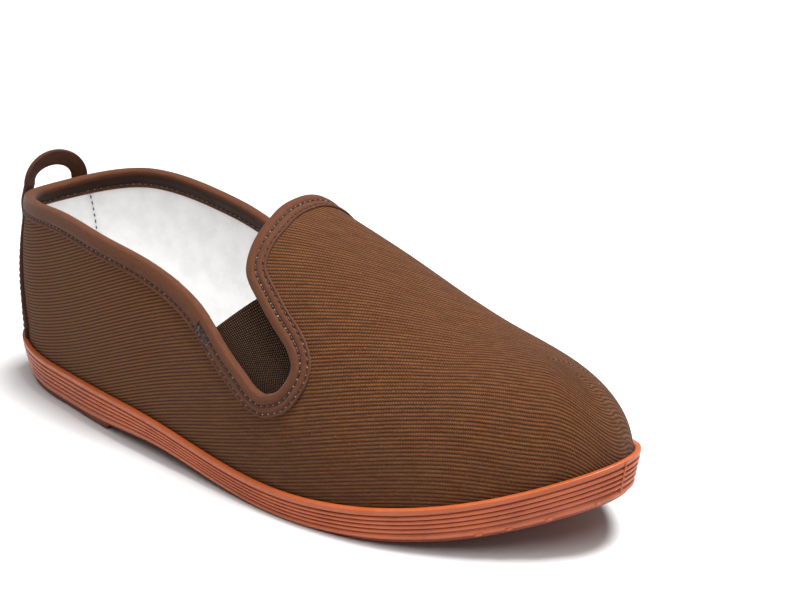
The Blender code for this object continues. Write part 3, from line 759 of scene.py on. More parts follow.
def liningRelief(side, s, a, place):  # loose cloth: slow waves, and the patch one layer thicker
    x, z = place[..., 0], place[..., 2]
    bend = x / 7.0 + 0.9 * np.sin(z / 9.0) + side
    wave = lining["slowWave"] * np.sin(bend) * np.sin(z / 13.0 + x / 31.0)
    wave += lining["quickWave"] * np.sin(x / 3.6 - z / 8.0 + 2 * side)
    patch = np.clip((lining["patchX"] - x) / 0.8, 0, 1) * lining["patchStep"]
    hold = np.clip(a / 0.15, 0, 1) * np.clip((76 - z) / 10, 0, 1)
    return -(lining["slack"] + wave * hold + patch) * (z < 90)


liningPiece = makeShell("lining", lining, makeCotton("liningCotton", lining), liningRelief, flatMap)
thicken(liningPiece, lining["outer"], lining["inner"])
finishPiece(liningPiece, "insole")


# tape round collar and vamp

tape = {
    "roundOver": 1.25,
    # profiles: depth from the edge and height over the skin, with a roll, sewn grooves and a thin edge
    "collarOuter": (
        (6.5, 0.12), (6.46, 0.55), (6.15, 0.8), (5.65, 0.75), (5.25, 0.5), (4.9, 0.35), (4.55, 0.55),
        (4.0, 0.85), (3.0, 1.05), (2.0, 1.1), (1.2, 1.05), (0.3, 0.9),
    ),
    "collarInner": (
        (0.3, -2.9), (1.4, -3.1), (2.6, -3.0), (3.8, -2.75), (4.4, -2.55), (4.8, -2.5), (5.3, -2.75),
        (6.1, -2.7), (6.4, -2.25),
    ),
    "vampOuter": (
        (6.3, 0.12), (6.27, 0.6), (5.95, 0.85), (5.6, 0.7), (5.2, 0.4), (4.8, 0.65), (4.1, 0.8), (3.4, 0.7),
        (2.95, 0.5), (2.6, 0.35), (2.25, 0.55), (1.8, 0.85), (1.2, 1.0), (0.7, 1.0), (0.3, 0.9),
    ),
    "vampInner": ((0.3, -2.7), (0.8, -2.7), (1.2, -2.6)),
    "seat": 0.12,
    "behind": 0.25,
    "collarStitch": 4.9,
    "vampStitches": (2.6, 5.2),
    "stitchPitch": 2.6,
    "tug": 0.16,
    "tugWidth": 0.8,
    "pathStep": 0.6,
    "threads": 1.9,
    "finish": {"Roughness": 0.78, "Sheen Weight": 0.08, "Specular IOR Level": 0.2},
    "light": tone(90, 54, 33),
    "dark": tone(78, 44, 27),
    # painted shade on the tape's inner flap, which faces down into the shoe
    "inside": tone(44, 22, 8),
    # painted shade for the heel pull tape
    "pullTapeShade": tone(56, 32, 20),
}


def makeTape(name, light, dark, inside=None):  # inside: start and end of a stretch of painted shade round the tape, on its inner flap
    material, tree, shader = newMaterial(name, tape["finish"])
    place = uvOf(tree)
    weave = useGroup(tree, weaveGroup, {"Vector": place, "Across": tape["threads"], "Along": tape["threads"]})
    streak = noise(tree, stretch(tree, place, (0.25, 1.6, 1.0)), 1.0, 4.0, 0.7)
    colour = mixColour(tree, rangeOf(tree, streak, 0.3, 0.7), light, dark)
    # the inner flap is darkened with painted shade
    if inside:
        across = wire(tree, "ShaderNodeSeparateXYZ", {0: place}).outputs[1]
        starts = rangeOf(tree, across, inside[0], inside[0] + 2.0)
        ends = rangeOf(tree, across, inside[1], inside[1] - 0.5)
        colour = mixColour(tree, calc(tree, "MULTIPLY", starts, ends), colour, tape["inside"])
    tree.links.new(colour, shader.inputs["Base Color"])
    addBump(tree, shader, weave["Height"], 0.22, 0.0002)
    return material


def evenPath(sides, places, step):  # the same path with even steps
    points = skinOf(sides, places[:, 0], places[:, 1])
    run = runLength(points)
    count = int(run[-1] / step)
    at = np.linspace(0, run[-1], count)
    even = np.stack([np.interp(at, run, places[:, i]) for i in (0, 1)], -1)
    return np.where(np.interp(at, run, sides) < 0, -1, 1), even, at


def pathFrames(sides, places, heading):  # point, outward normal and direction into the cloth
    s, a = places[:, 0], places[:, 1]
    points = skinOf(sides, s, a)
    normals = outward(sides, s, a)
    run = unit(np.gradient(points, axis=0))
    near = a > 0.985
    if near.any():
        ahead = skinOf(sides, s + 0.004, np.ones_like(a)) - skinOf(sides, s, np.ones_like(a))
        level = unit(np.cross(ahead, (0.0, 1.0, 0.0)))
        normals = np.where(near[:, None], level, normals)
    for turn in range(6):
        normals[1:-1] = unit(normals[:-2] + 2 * normals[1:-1] + normals[2:])
    inward = unit(np.cross(normals, run) * heading)
    return points, normals, inward


def walk(sides, places, direction, distance):  # over the skin in short steps
    s, a = places[:, 0].copy(), places[:, 1].copy()
    for step in range(5):
        along, upward = tangents(sides, s, np.minimum(a, 0.99))
        move = direction * np.asarray(distance, float)[:, None] / 5
        aa, ab, bb = (along * along).sum(1), (along * upward).sum(1), (upward * upward).sum(1)
        ma, mb = (move * along).sum(1), (move * upward).sum(1)
        det = aa * bb - ab * ab
        s = np.clip(s + (ma * bb - mb * ab) / det, 0, 1)
        a = np.clip(a + (mb * aa - ma * ab) / det, 0, 1)
    return np.stack([s, a], -1)


def joinSides(halves):  # one path, up the outer side and down the inner one
    sides = np.concatenate([np.full(len(halves[0]), -1), np.full(len(halves[1]) - 1, 1)])
    return sides, np.vstack([halves[0], halves[1][-2::-1]])


def collarPath():
    rows = np.linspace(last["tackShare"], 1, 60)[:-1]
    stations = np.linspace(cornerEnd, 0, 140)
    return joinSides([np.vstack([quarterEdge(side, rows), collarEdge(side, stations)]) for side in (-1, 1)])


def vampPath():
    rows = np.linspace(last["tackShare"], 0, 60)[:-1]
    shares = edgeShares(np.linspace(0, 1, 150))
    return joinSides([np.vstack([quarterEdge(side, rows), tongueEdge(side, shares)]) for side in (-1, 1)])


def finer(table):
    run = runLength(np.array(table))
    return spline(run, np.array(table))(np.linspace(0, run[-1], 2 * len(table) + 2))


def tapeSection(outer, inner):  # once round the tape, and where its fold and its inner flap start
    outer, inner = finer(outer), finer(inner)
    start, end = outer[-1][1], inner[0][1]
    middle, half = (start + end) / 2, (start - end) / 2
    turns = np.linspace(0.2, math.pi - 0.2, 9)
    fold = np.stack([-tape["roundOver"] * np.sin(turns), middle + half * np.cos(turns)], -1)
    flap, reach = outer[0][0], inner[-1][0]
    under = -last["wall"] - tape["behind"]
    back = [
        (reach, under), (0.0, under), (-tape["behind"], -last["wall"] / 2),
        (0.0, tape["seat"]), (flap / 2, tape["seat"]), (flap - 0.1, tape["seat"]),
    ]
    return np.vstack([outer, fold, inner, back]), len(outer), len(outer) + len(fold)


def sweepTape(name, path, heading, outer, inner, stitches):
    sides, places, at = evenPath(*path, tape["pathStep"])
    points, normals, inward = pathFrames(sides, places, heading)
    profile, outerCount, innerStart = tapeSection(outer, inner)
    rings, uv = [], []
    across = runLength(profile)
    innerEnd = across[innerStart] + runLength(np.array(inner))[-1]
    # painted shade over the inner flap, from just past the fold to near its stitched edge
    dark = (across[innerStart] - 0.6, innerEnd - 1.7)
    material = makeTape(name + "Cloth", tape["light"], tape["dark"], dark)
    pull = 0.5 - 0.5 * np.cos(math.tau * at / tape["stitchPitch"])  # drawn in at each stitch
    ends = np.clip(np.minimum(at, at[-1] - at) / 3.0, 0.25, 1)
    for k, (d, h) in enumerate(profile):
        reach = np.full(len(at), d)
        if d < 0:
            ring = points + inward * reach[:, None] + normals * h
        else:
            if h < -1:
                reach = reach * ends
            spot = walk(sides, places, inward, reach)
            direction = outward(sides, spot[:, 0], spot[:, 1])
            blend = np.clip(d / 2.0, 0, 1)
            direction = unit(direction * blend + normals * (1 - blend))
            if k < outerCount:
                tug = sum(tape["tug"] * np.exp(-((d - line) / tape["tugWidth"]) ** 2) for line in stitches)
                h = h - tug * pull
            ring = skinOf(sides, spot[:, 0], spot[:, 1]) + direction * np.asarray(h).reshape(-1, 1)
        rings.append(ring)
        uv.append(np.stack([at, np.full(len(at), across[k])], -1))
    grid = np.stack(rings, 1)
    rows, cols = grid.shape[:2]
    piece = newPiece(
        name, grid.reshape(-1, 3), barFaces(rows, cols), material, np.stack(uv, 1).reshape(-1, 2))
    fixNormals(piece)
    for edge in piece.data.edges:  # clean ends, so that two tapes meet without a dark ring
        first, second = edge.vertices
        edge.use_edge_sharp = max(first, second) < cols or min(first, second) >= rows * cols - cols
    return piece, (sides, places, at, inward)


collarPiece, collarLine = sweepTape(
    "collarTape", collarPath(), 1, tape["collarOuter"], tape["collarInner"], (tape["collarStitch"],))
finishPiece(collarPiece, "collar_binding", "collar_binding")
vampPiece, vampLine = sweepTape(
    "vampTape", vampPath(), -1, tape["vampOuter"], tape["vampInner"], tape["vampStitches"])
finishPiece(vampPiece, "vamp_binding", "vamp_binding")


# stitches: one node tree for every sewn line

thread = {
    "sizes": {  # pitch, length and radius of what is sewn or set in a row
        "tape": (tape["stitchPitch"], 1.5, 0.3),
        # pale beads of painted highlight set between the dark stitches
        "paleGlint": (tape["stitchPitch"], 0.6, 0.22),
        "tack": (9.0, 3.6, 0.25),
        "seam": (tape["stitchPitch"], 1.5, 0.28),
        "pull": (2.4, 1.8, 0.26),
        "flash": (9.0, 2.6, 0.5),
    },
    "seed": 4,
    "vary": (0.88, 1.1),
    "trim": 1.5,
    "outerLift": 0.5,
    "innerLift": -2.65,
    "collarTack": (0.3, 1.1, 1.9),
    "vampTack": (0.3, 1.2, 2.1, 3.0, 3.9, 4.8, 5.7, 6.6, 7.5, 8.4),
    "tackDepths": (2.3, 5.5),
    "tackLift": 0.8,
    "seamHeights": (30.0, 70.0),
    "seamLift": 0.45,
    "twist": 900.0,
    "colour": tone(24, 16, 12),
    "glint": tone(48, 38, 33),
    # painted glints: the pale beads between the stitches, also the pale glint on the tack thread
    "paleGlint": tone(96, 84, 77),
    "paleGlintBright": tone(150, 141, 135),
    "seamColour": tone(52, 46, 44),
}


def makeThread(name, colour, glint):
    material, tree, shader = newMaterial(name, {"Roughness": 0.5})
    twist = noise(tree, objectOf(tree), thread["twist"], 2.0)
    colour = mixColour(tree, rangeOf(tree, twist, 0.4, 0.7), colour, glint)
    tree.links.new(colour, shader.inputs["Base Color"])
    addBump(tree, shader, twist, 0.4, 0.0002)
    return material


def endTree(tree, geometry, material, result):
    real = wire(tree, "GeometryNodeRealizeInstances", {0: geometry})
    smooth = wire(tree, "GeometryNodeSetShadeSmooth", {"Geometry": real.outputs[0]})
    dyed = wire(tree, "GeometryNodeSetMaterial", {"Geometry": smooth.outputs[0], "Material": material})
    giveOut(tree, result, {"Geometry": dyed.outputs[0]})
    return tree


def makeStitchTree():
    inputs = {
        "Geometry": ("Geometry", None),
        "Pitch": ("Float", 0.0026),
        "Length": ("Float", 0.002),
        "Radius": ("Float", 0.0003),
        "Seed": ("Int", 4),
        "Thread": ("Material", None),
    }
    tree, given, result = newGroup("sewnLine", "GeometryNodeTree", inputs, {"Geometry": "Geometry"})
    spots = wire(tree, "GeometryNodeCurveToPoints", {
        "Curve": given["Geometry"], "Length": given["Pitch"]}, mode="LENGTH")
    ball = wire(tree, "GeometryNodeMeshUVSphere", {"Segments": 8, "Rings": 6, "Radius": 1.0})
    half = calc(tree, "MULTIPLY", given["Length"], 0.5)
    size = wire(tree, "ShaderNodeCombineXYZ", {0: given["Radius"], 1: given["Radius"], 2: half})
    stitch = wire(tree, "GeometryNodeTransform", {"Geometry": ball.outputs[0], "Scale": size.outputs[0]})
    turn = wire(tree, "FunctionNodeAlignRotationToVector", {"Vector": spots.outputs["Tangent"]}, axis="Z")
    low, high = thread["vary"]
    vary = wire(tree, "FunctionNodeRandomValue", {"Seed": given["Seed"], 2: low, 3: high}, data_type="FLOAT")
    placed = wire(tree, "GeometryNodeInstanceOnPoints", {
        "Points": spots.outputs[0], "Instance": stitch.outputs[0],
        "Rotation": turn.outputs[0], "Scale": vary.outputs[1]})
    return endTree(tree, placed.outputs[0], given["Thread"], result)


def curveFrom(name, lines, closed=False, radii=None):
    data = bpy.data.curves.new(name, "CURVE")
    data.dimensions = "3D"
    for n, line in enumerate(lines):
        path = data.splines.new("POLY")
        path.points.add(len(line) - 1)
        world = np.column_stack([toWorld(line), np.ones(len(line))])
        path.points.foreach_set("co", world.ravel())
        if radii is not None:
            path.points.foreach_set("radius", np.asarray(radii[n], float))
        path.use_cyclic_u = closed
    return addObject(name, data)


def growNodes(name, source, tree, values):  # run a tree on a curve and keep the result as a plain mesh
    modifier = source.modifiers.new("grow", "NODES")
    modifier.node_group = tree
    sockets = {item.name: item.identifier for item in tree.interface.items_tree if item.in_out == "INPUT"}
    for label, value in values.items():
        modifier[sockets[label]] = value
    bpy.context.view_layer.update()
    ready = source.evaluated_get(bpy.context.evaluated_depsgraph_get())
    mesh = bpy.data.meshes.new_from_object(ready)
    mesh.name = name
    source.modifiers.remove(modifier)
    bpy.data.objects.remove(source)
    return addObject(name, mesh)


stitchTree = makeStitchTree()
threadMaterial = makeThread("sewingThread", thread["colour"], thread["glint"])
seamMaterial = makeThread("seamThread", thread["seamColour"], thread["seamColour"])
# pale beads of painted glint, and tack thread with the same painted glint
paleGlintMaterial = makeThread("threadGlintBeads", thread["paleGlint"], thread["paleGlintBright"])
tackMaterial = makeThread("tackThread", thread["colour"], thread["paleGlint"])


def tapeLine(line, depth, height, trim):  # a sewn line at a depth from the edge of the tape
    sides, places, at, inward = line
    keep = (at > trim) & (at < at[-1] - trim)
    spot = walk(sides, places, inward, np.full(len(at), depth))
    points = skinOf(sides, spot[:, 0], spot[:, 1]) + outward(sides, spot[:, 0], spot[:, 1]) * height
    return points[keep]


def sew(name, lines, slotName, material, kind):
    pitch, length, radius = (size * 0.001 for size in thread["sizes"][kind])
    values = {"Pitch": pitch, "Length": length, "Radius": radius, "Seed": thread["seed"], "Thread": material}
    return finishPiece(growNodes(name, curveFrom(name + "Path", lines), stitchTree, values), slotName)


def sewTape(name, line, rows, slotName):  # dark stitches with painted glints between them: pale beads that stand in for light on the thread
    halfPitch = tape["stitchPitch"] / 2
    sewn = {"Stitches": (0.0, threadMaterial, "tape"), "Glints": (halfPitch, paleGlintMaterial, "paleGlint")}
    for part, (offset, material, kind) in sewn.items():
        lines = [tapeLine(line, depth, height, thread["trim"] + offset) for depth, height in rows]
        sew(name + part, lines, slotName, material, kind)


def tackLines(line, spots):  # close stitches across the tape at both of its ends
    sides, places, at, inward = line
    made = []
    for place in [*spots, *(at[-1] - np.array(spots))]:
        i = [int(np.argmin(np.abs(at - place)))]
        ends = []
        for depth in thread["tackDepths"]:
            spot = walk(sides[i], places[i], inward[i], np.array([depth]))
            ends.append((skinOf(sides[i], *spot.T) + outward(sides[i], *spot.T) * thread["tackLift"])[0])
        middle = (ends[0] + ends[1]) / 2
        made.append(np.array([middle, middle + (ends[1] - ends[0]) * 0.1]))
    return made


collarRows = ((tape["collarStitch"], thread["outerLift"]), (tape["collarStitch"] - 0.1, thread["innerLift"]))
sewTape("collar", collarLine, collarRows, "collar_binding")
sewTape("vamp", vampLine, [(depth, thread["outerLift"]) for depth in tape["vampStitches"]], "vamp_binding")
tacks = tackLines(collarLine, thread["collarTack"]) + tackLines(vampLine, thread["vampTack"])
sew("barTacks", tacks, "vamp_binding", tackMaterial, "tack")


def seamLine(side):  # where the heel patch of the lining is sewn on
    heights = np.linspace(*thread["seamHeights"], 40)
    spot = locate(side, 0, np.stack([np.full(40, lining["patchX"] + 0.6), heights], -1))
    sides = np.full(40, side)
    depth = lining["inner"] + lining["patchStep"] + thread["seamLift"]
    return skinOf(sides, *spot.T) - outward(sides, *spot.T) * depth


sew("liningSeam", [seamLine(side) for side in (-1, 1)], "insole", seamMaterial, "seam")


# elastic gores

gore = {
    "columns": ("share", "rearX", "rearHeight", "frontX", "frontHeight"),
    "rows": (
        (0.0, 156.2, 34.8, 163.2, 34.8),
        (0.25, 149.3, 38.0, 172.3, 40.6),
        (0.5, 142.9, 42.4, 174.3, 49.1),
        (0.75, 136.4, 47.1, 166.8, 60.2),
        (1.0, 129.2, 51.9, 152.2, 71.3),
    ),
    "thickness": 1.2,
    "flat": (0.035, 0.045),
    "depth": 2.25,
    "ribPitch": 0.8,
    "crossPitch": 0.7,
    "webLength": 42.0,
    "tight": 0.75,
    "gridRows": 60,
    "gridCols": 40,
    "dark": tone(14, 9, 6),
    "light": tone(104, 74, 54),
}


def makeElastic():
    material, tree, shader = newMaterial("goreElastic", {"Roughness": 0.85, "Specular IOR Level": 0.15})
    parts = wire(tree, "ShaderNodeSeparateXYZ", {0: uvOf(tree)}).outputs
    cord = calc(tree, "SINE", calc(tree, "MULTIPLY", parts[0], math.tau / gore["ribPitch"]))
    cross = calc(tree, "SINE", calc(tree, "MULTIPLY", parts[1], math.tau / gore["crossPitch"]))
    height = calc(tree, "ADD", cord, calc(tree, "MULTIPLY", cross, 0.7))
    fuzz = noise(tree, uvOf(tree), 2.0, 3.0, 0.7)
    mask = calc(tree, "ADD", calc(tree, "MULTIPLY", height, 0.35), fuzz)
    colour = mixColour(tree, rangeOf(tree, mask, 0.45, 1.05), gore["dark"], gore["light"])
    tree.links.new(colour, shader.inputs["Base Color"])
    addBump(tree, shader, calc(tree, "ADD", height, calc(tree, "MULTIPLY", fuzz, 0.4)), 0.6, 0.0003)
    return material


elasticMaterial = makeElastic()
goreCurves = columnCurves(gore["columns"], gore["rows"])


def makeGore(name, side, node):
    shares = np.linspace(0, 1, gore["gridRows"])
    rear = locate(side, 0, np.stack([goreCurves["rearX"](shares), goreCurves["rearHeight"](shares)], -1))
    front = locate(side, 0, np.stack([goreCurves["frontX"](shares), goreCurves["frontHeight"](shares)], -1))
    grid = np.linspace(rear, front, gore["gridCols"], axis=1)
    s, a = grid[..., 0], grid[..., 1]
    sides = np.full(s.shape, side)
    top = skin(side, s, a) - outward(sides, s, a) * gore["depth"]
    chord = np.linspace(top[:, 0], top[:, -1], gore["gridCols"], axis=1)
    top = top + (chord - top) * gore["tight"]  # elastic pulls straight across the cut-out
    width = np.linalg.norm(np.diff(top, axis=1), axis=2).sum(1)
    across = (np.linspace(0, 1, gore["gridCols"])[None] - 0.5) * width[:, None]
    along = np.linspace(0, gore["webLength"], gore["gridRows"])[:, None] * np.ones_like(across)
    uv = np.stack([across, along], -1).reshape(-1, 2)
    piece = newPiece(name, top.reshape(-1, 3), gridFaces(*s.shape, 0, side < 0), elasticMaterial, uv)
    thicken(piece, 0.0, gore["thickness"])
    finishPiece(piece, node, node)


makeGore("outerGore", -1, "lateral_gore")
makeGore("innerGore", 1, "medial_gore")


# heel pull tape

pull = {
    "width": 6.4,
    "thickness": 2.0,
    "rise": 8.8,
    "sunk": 0.45,
    "overCollar": 1.25,
    "stepLow": 62.0,
    "stepHigh": 70.0,
    "stitchAcross": 0.31,
    "stitchLift": 0.42,
    "columns": ("height", "lateral", "medial"),
    "legs": ((19.0, -16.5, 25.0), (37.0, -13.0, 22.5), (56.0, -9.0, 18.5), (75.0, -5.0, 15.0)),
}


def pullFrames():
    curves = columnCurves(pull["columns"], pull["legs"])
    heights = np.linspace(pull["legs"][0][0], pull["legs"][-1][0], 70)
    legs = []
    for side, name in ((-1, "lateral"), (1, "medial")):
        places = locate(side, 1, np.stack([curves[name](heights), heights], -1))
        sides = np.full(len(heights), side)
        normals = outward(sides, places[:, 0], places[:, 1])
        over = np.clip((heights - pull["stepLow"]) / (pull["stepHigh"] - pull["stepLow"]), 0, 1)
        over = over * over * (3 - 2 * over)
        lift = pull["thickness"] / 2 - pull["sunk"] + (pull["sunk"] + pull["overCollar"]) * over
        legs.append((skin(side, places[:, 0], places[:, 1]) + normals * lift[:, None], normals))
    (left, leftNormals), (right, rightNormals) = legs
    middle, reach = (left[-1] + right[-1]) / 2, (left[-1] - right[-1]) / 2
    turn = np.radians(np.arange(4, 180, 4))[:, None]
    arch = middle + reach * np.cos(turn) + np.array((0, 0, 1)) * pull["rise"] * np.sin(turn)
    share = (1 - np.cos(turn)) / 2
    points = np.vstack([left, arch, right[::-1]])
    archNormals = leftNormals[-1] * (1 - share) + rightNormals[-1] * share
    normals = unit(np.vstack([leftNormals, archNormals, rightNormals[::-1]]))
    across = unit(np.cross(normals, np.gradient(points, axis=0)))
    return points, normals, across


def pullOffset(normals, across, w, t):  # shares of the width and the thickness
    return across * (pull["width"] * w) + normals * (pull["thickness"] * t)


def makePullTape():
    points, normals, across = pullFrames()
    at = runLength(points)
    profile = []
    for turn in np.linspace(0, math.tau, 28, endpoint=False):
        w, t = math.cos(turn), math.sin(turn)
        w = math.copysign(abs(w) ** 0.45, w)
        t = math.copysign(abs(t) ** 0.6, t)
        profile.append((w, t * (1 - 0.18 * math.exp(-((abs(w) - 0.62) / 0.14) ** 2))))
    grid = np.stack([points + pullOffset(normals, across, w / 2, t / 2) for w, t in profile], 1)
    rows, cols = grid.shape[:2]
    girth = runLength(np.array(profile) * 3)
    uv = np.stack([np.repeat(at[:, None], cols, 1), np.repeat(girth[None], rows, 0)], -1).reshape(-1, 2)
    # the binding's tape painted darker: painted shade on the pull tape at the back of the heel
    material = makeTape("pullTapeCloth", tape["dark"], tape["pullTapeShade"])
    piece = newPiece("pullTape", grid.reshape(-1, 3), barFaces(rows, cols), material, uv)
    fixNormals(piece)
    finishPiece(piece, "heel_pull_tape", "heel_pull_tape")
    edges = [pull["stitchAcross"] * way for way in (-1, 1)]
    lines = [points + pullOffset(normals, across, edge, pull["stitchLift"]) for edge in edges]
    sew("pullStitches", lines, "heel_pull_tape", threadMaterial, "pull")


makePullTape()


# sole: smooth lip, ribbed side, heel block and tread

sole = {
    "lipHeight": 2.4,
    "grooves": 5,
    "ribDepth": 0.6,
    "ribStart": 0.27,
    "ribEnd": 0.05,
    "ribSpare": 0.6,
    "ribRound": 0.85,
    "treadDrop": 1.2,
    "treadInset": 1.0,
    "heelBreast": 74.0,
    "taper": ((0.0, 2.2), (60.0, 2.0), (110.0, 1.0), (200.0, 1.0), (270.0, 1.6)),
    "stations": 230,
    "lip": tone(160, 76, 34),
    "side": tone(178, 88, 50),
    # painted shade in the grooves between the ribs, darker still deep in them
    "groove": tone(134, 60, 32),
    "deepShade": tone(86, 34, 18),
    "mouldLine": 0.976,
    "mouldRise": 0.05,
    "mouldRadius": 0.28,
    "mouldRound": 0.9,
    "flash": (237.0, 245.0, 255.0, 266.0),
    "flashInset": 1.2,
}
taper = columnCurves(("x", "inset"), sole["taper"])["inset"]


def makeRubber(name, colour, shade, grain, gloss):
    finish = {"Roughness": gloss, "Coat Weight": 0.12, "Coat Roughness": 0.3}
    material, tree, shader = newMaterial(name, finish)
    surface = useGroup(tree, grainGroup, {"Vector": objectOf(tree), "Scale": grain})
    clouded = mixColour(tree, rangeOf(tree, surface["Cloud"], 0.35, 0.7, 0.0, 0.45), colour, shade)
    tree.links.new(clouded, shader.inputs["Base Color"])
    rough = rangeOf(tree, surface["Height"], 0.3, 0.7, gloss - 0.08, gloss + 0.15)
    tree.links.new(rough, shader.inputs["Roughness"])
    addBump(tree, shader, surface["Height"], 0.35, 0.0004)
    return material


lipMaterial = makeRubber("soleLip", sole["lip"], sole["side"], 700.0, 0.42)
ribMaterial = makeRubber("soleRibs", sole["side"], sole["groove"], 1300.0, 0.4)
grooveShadeMaterial = makeRubber("soleGrooveShade", sole["groove"], sole["deepShade"], 1300.0, 0.5)


def soleRing(stations, inset, height):
    low = insetOutline(-1, stations, inset(stations))
    high = insetOutline(1, stations, inset(stations))[-2:0:-1]
    plan = np.vstack([low, high])
    return np.column_stack([plan, height(plan[:, 0])])


def plain(value):
    return lambda s: np.full(len(s), value)


def wallInset(part, extra):
    return lambda s: taper(station(s)) * part + extra


def wallHeight(part):
    top, edge = section["rim"], section["edge"]
    return lambda x: top(x) - sole["lipHeight"] - part * (top(x) - sole["lipHeight"] - edge(x))


def treadHeight(x):
    return np.where(x < sole["heelBreast"], 0.0, np.clip(section["edge"](x) - sole["treadDrop"], 0, None))


def soleStations():
    breast = float(stationOf(sole["heelBreast"]))
    even = np.linspace(0, 1, sole["stations"])
    even = even[np.abs(even - breast) > 0.002]
    return np.sort(np.concatenate([even, [breast - 0.0005, breast + 0.0015]]))


def makeSole():
    stations = soleStations()
    top, edge = section["rim"], section["edge"]
    rings = [(plain(last["rimWidth"]), bedHeight), (plain(last["rimWidth"]), lambda x: top(x) - 0.5)]
    for turn in np.linspace(0.15, 1.0, 7) * math.pi / 2:  # rounded top of the lip
        inset = plain(last["rimWidth"] * (1 - math.sin(turn)))
        rings.append((inset, lambda x, t=turn: top(x) - 0.7 * (1 - math.cos(t)) - 0.1))
    rings.append((plain(0.0), lambda x: top(x) - sole["lipHeight"] + 0.5))
    rings.append((plain(0.12), lambda x: top(x) - sole["lipHeight"] + 0.2))
    lipRings = len(rings)
    rings.append((wallInset(0.0, sole["ribDepth"]), wallHeight(0.02)))
    for part in (0.25, 0.5, 0.75):
        rings.append((wallInset(part, sole["ribDepth"]), wallHeight(part)))
    rings.append((wallInset(1.0, sole["ribDepth"]), wallHeight(0.97)))
    rings.append((wallInset(1.0, 0.6), wallHeight(1.0)))
    rings.append((wallInset(1.0, sole["treadInset"]), lambda x: edge(x) - 0.1))
    rings.append((wallInset(1.0, sole["treadInset"] + 0.4), treadHeight))
    grid = np.stack([soleRing(stations, inset, height) for inset, height in rings])
    rows, cols = grid.shape[:2]
    piece = newPiece("sole", grid.reshape(-1, 3), slabFaces(rows, cols), lipMaterial)
    piece.data.materials.append(grooveShadeMaterial)
    for n, polygon in enumerate(piece.data.polygons):
        # the wall between the ribs takes the painted groove shade; so does the tread underneath, painted
        # shade under the sole that also darkens the shadow on the floor
        if lipRings * cols - cols <= n < (rows - 1) * cols:
            polygon.material_index = 1
        if n >= rows * cols - cols + cols // 2:
            polygon.material_index = 1
        polygon.use_smooth = n < (rows - 1) * cols
    fixNormals(piece)
    return finishPiece(piece, "outsole", "outsole")


def makeRibTree():
    inputs = {"Geometry": ("Geometry", None), "Round": ("Float", 0.55), "Rubber": ("Material", None)}
    tree, given, result = newGroup("soleRibLines", "GeometryNodeTree", inputs, {"Geometry": "Geometry"})
    upright = wire(tree, "GeometryNodeSetCurveNormal", {"Curve": given["Geometry"]}, mode="Z_UP")
    square = wire(tree, "GeometryNodeCurvePrimitiveQuadrilateral", {"Width": 2.0, "Height": 2.0})
    rounded = wire(tree, "GeometryNodeFilletCurve", {
        "Curve": square.outputs[0], "Count": 3, "Radius": given["Round"]}, mode="POLY")
    size = wire(tree, "GeometryNodeInputRadius")
    swept = wire(tree, "GeometryNodeCurveToMesh", {
        "Curve": upright.outputs[0], "Profile Curve": rounded.outputs[0], "Scale": size.outputs[0]})
    return endTree(tree, swept.outputs[0], given["Rubber"], result)


def sweepRubber(name, lines, closed, radii, roundness, material):
    path = curveFrom(name + "Path", lines, closed, radii)
    piece = growNodes(name, path, ribTree, {"Round": roundness, "Rubber": material})
    fixNormals(piece)
    return finishPiece(piece, "outsole")


def makeRibs():
    stations = soleStations()
    half = len(stations)
    pitch = 1.0 / (sole["grooves"] + sole["ribSpare"])
    x = soleRing(stations, plain(0.0), bedHeight)[:, 0]
    tall = section["rim"](x) - sole["lipHeight"] - section["edge"](x)
    lines, radii = [], []
    for rib in range(sole["grooves"]):
        low = (rib + sole["ribStart"]) * pitch
        high = (rib + 1 + sole["ribEnd"]) * pitch if rib < sole["grooves"] - 1 else 1.0
        centre = (low + high) / 2
        radius = (high - low) / 2 * tall
        inset = wallInset(centre, 0.0)(stations)
        back = np.concatenate([[radius[0]], radius[half:][::-1], [radius[half - 1]]])
        lowSide = insetOutline(-1, stations, inset + radius[:half])
        highSide = insetOutline(1, stations, inset + back)[-2:0:-1]
        plan = np.vstack([lowSide, highSide])
        lines.append(np.column_stack([plan, wallHeight(centre)(plan[:, 0])]))
        radii.append(radius * 0.001)
    return sweepRubber("soleRibs", lines, True, radii, sole["ribRound"], ribMaterial)


def makeMouldMarks():  # parting line over the toe and small nubs of flash along the lower edge
    parts = np.linspace(0, 1, 12)
    here = np.full(12, sole["mouldLine"])
    x = station(here)
    plan = insetOutline(-1, here, taper(x) * parts - sole["mouldRise"])
    height = np.array([wallHeight(part)(at) for part, at in zip(parts, x)])
    start = insetOutline(-1, here[:1], np.array([-sole["mouldRise"]]))[0]
    line = np.vstack([[*start, section["rim"](x[0]) - 1.0], np.column_stack([plan, height])])
    radii = [np.full(len(line), sole["mouldRadius"] * 0.001)]
    sweepRubber("mouldLine", [line], False, radii, sole["mouldRound"], lipMaterial)
    nubs = []
    for x in sole["flash"]:
        at = stationOf(np.array([x, x + 0.6]))
        plan = insetOutline(-1, at, np.full(2, sole["flashInset"]))
        nubs.append(np.column_stack([plan, section["edge"](station(at))]))
    sew("mouldFlash", nubs, "outsole", ribMaterial, "flash")


ribTree = makeRibTree()
makeSole()
makeRibs()
makeMouldMarks()


# insole: cloth sock on a thin board

insole = {
    "inset": 4.7,
    "profile": (  # further inset and height over the foot bed
        (0.2, 0.0), (0.0, 0.5), (0.0, 1.6), (0.5, 2.2), (1.6, 2.4), (5.0, 2.35), (11.0, 2.25), (17.0, 2.2),
    ),
    "stations": 120,
    "threads": 1.3,
    "bump": 0.5,
    "white": tone(238, 236, 232),
    "shade": tone(214, 210, 203),
}


def bedLift(lift):  # a height over the foot bed
    return lambda x: bedHeight(x) + last["gap"] + lift


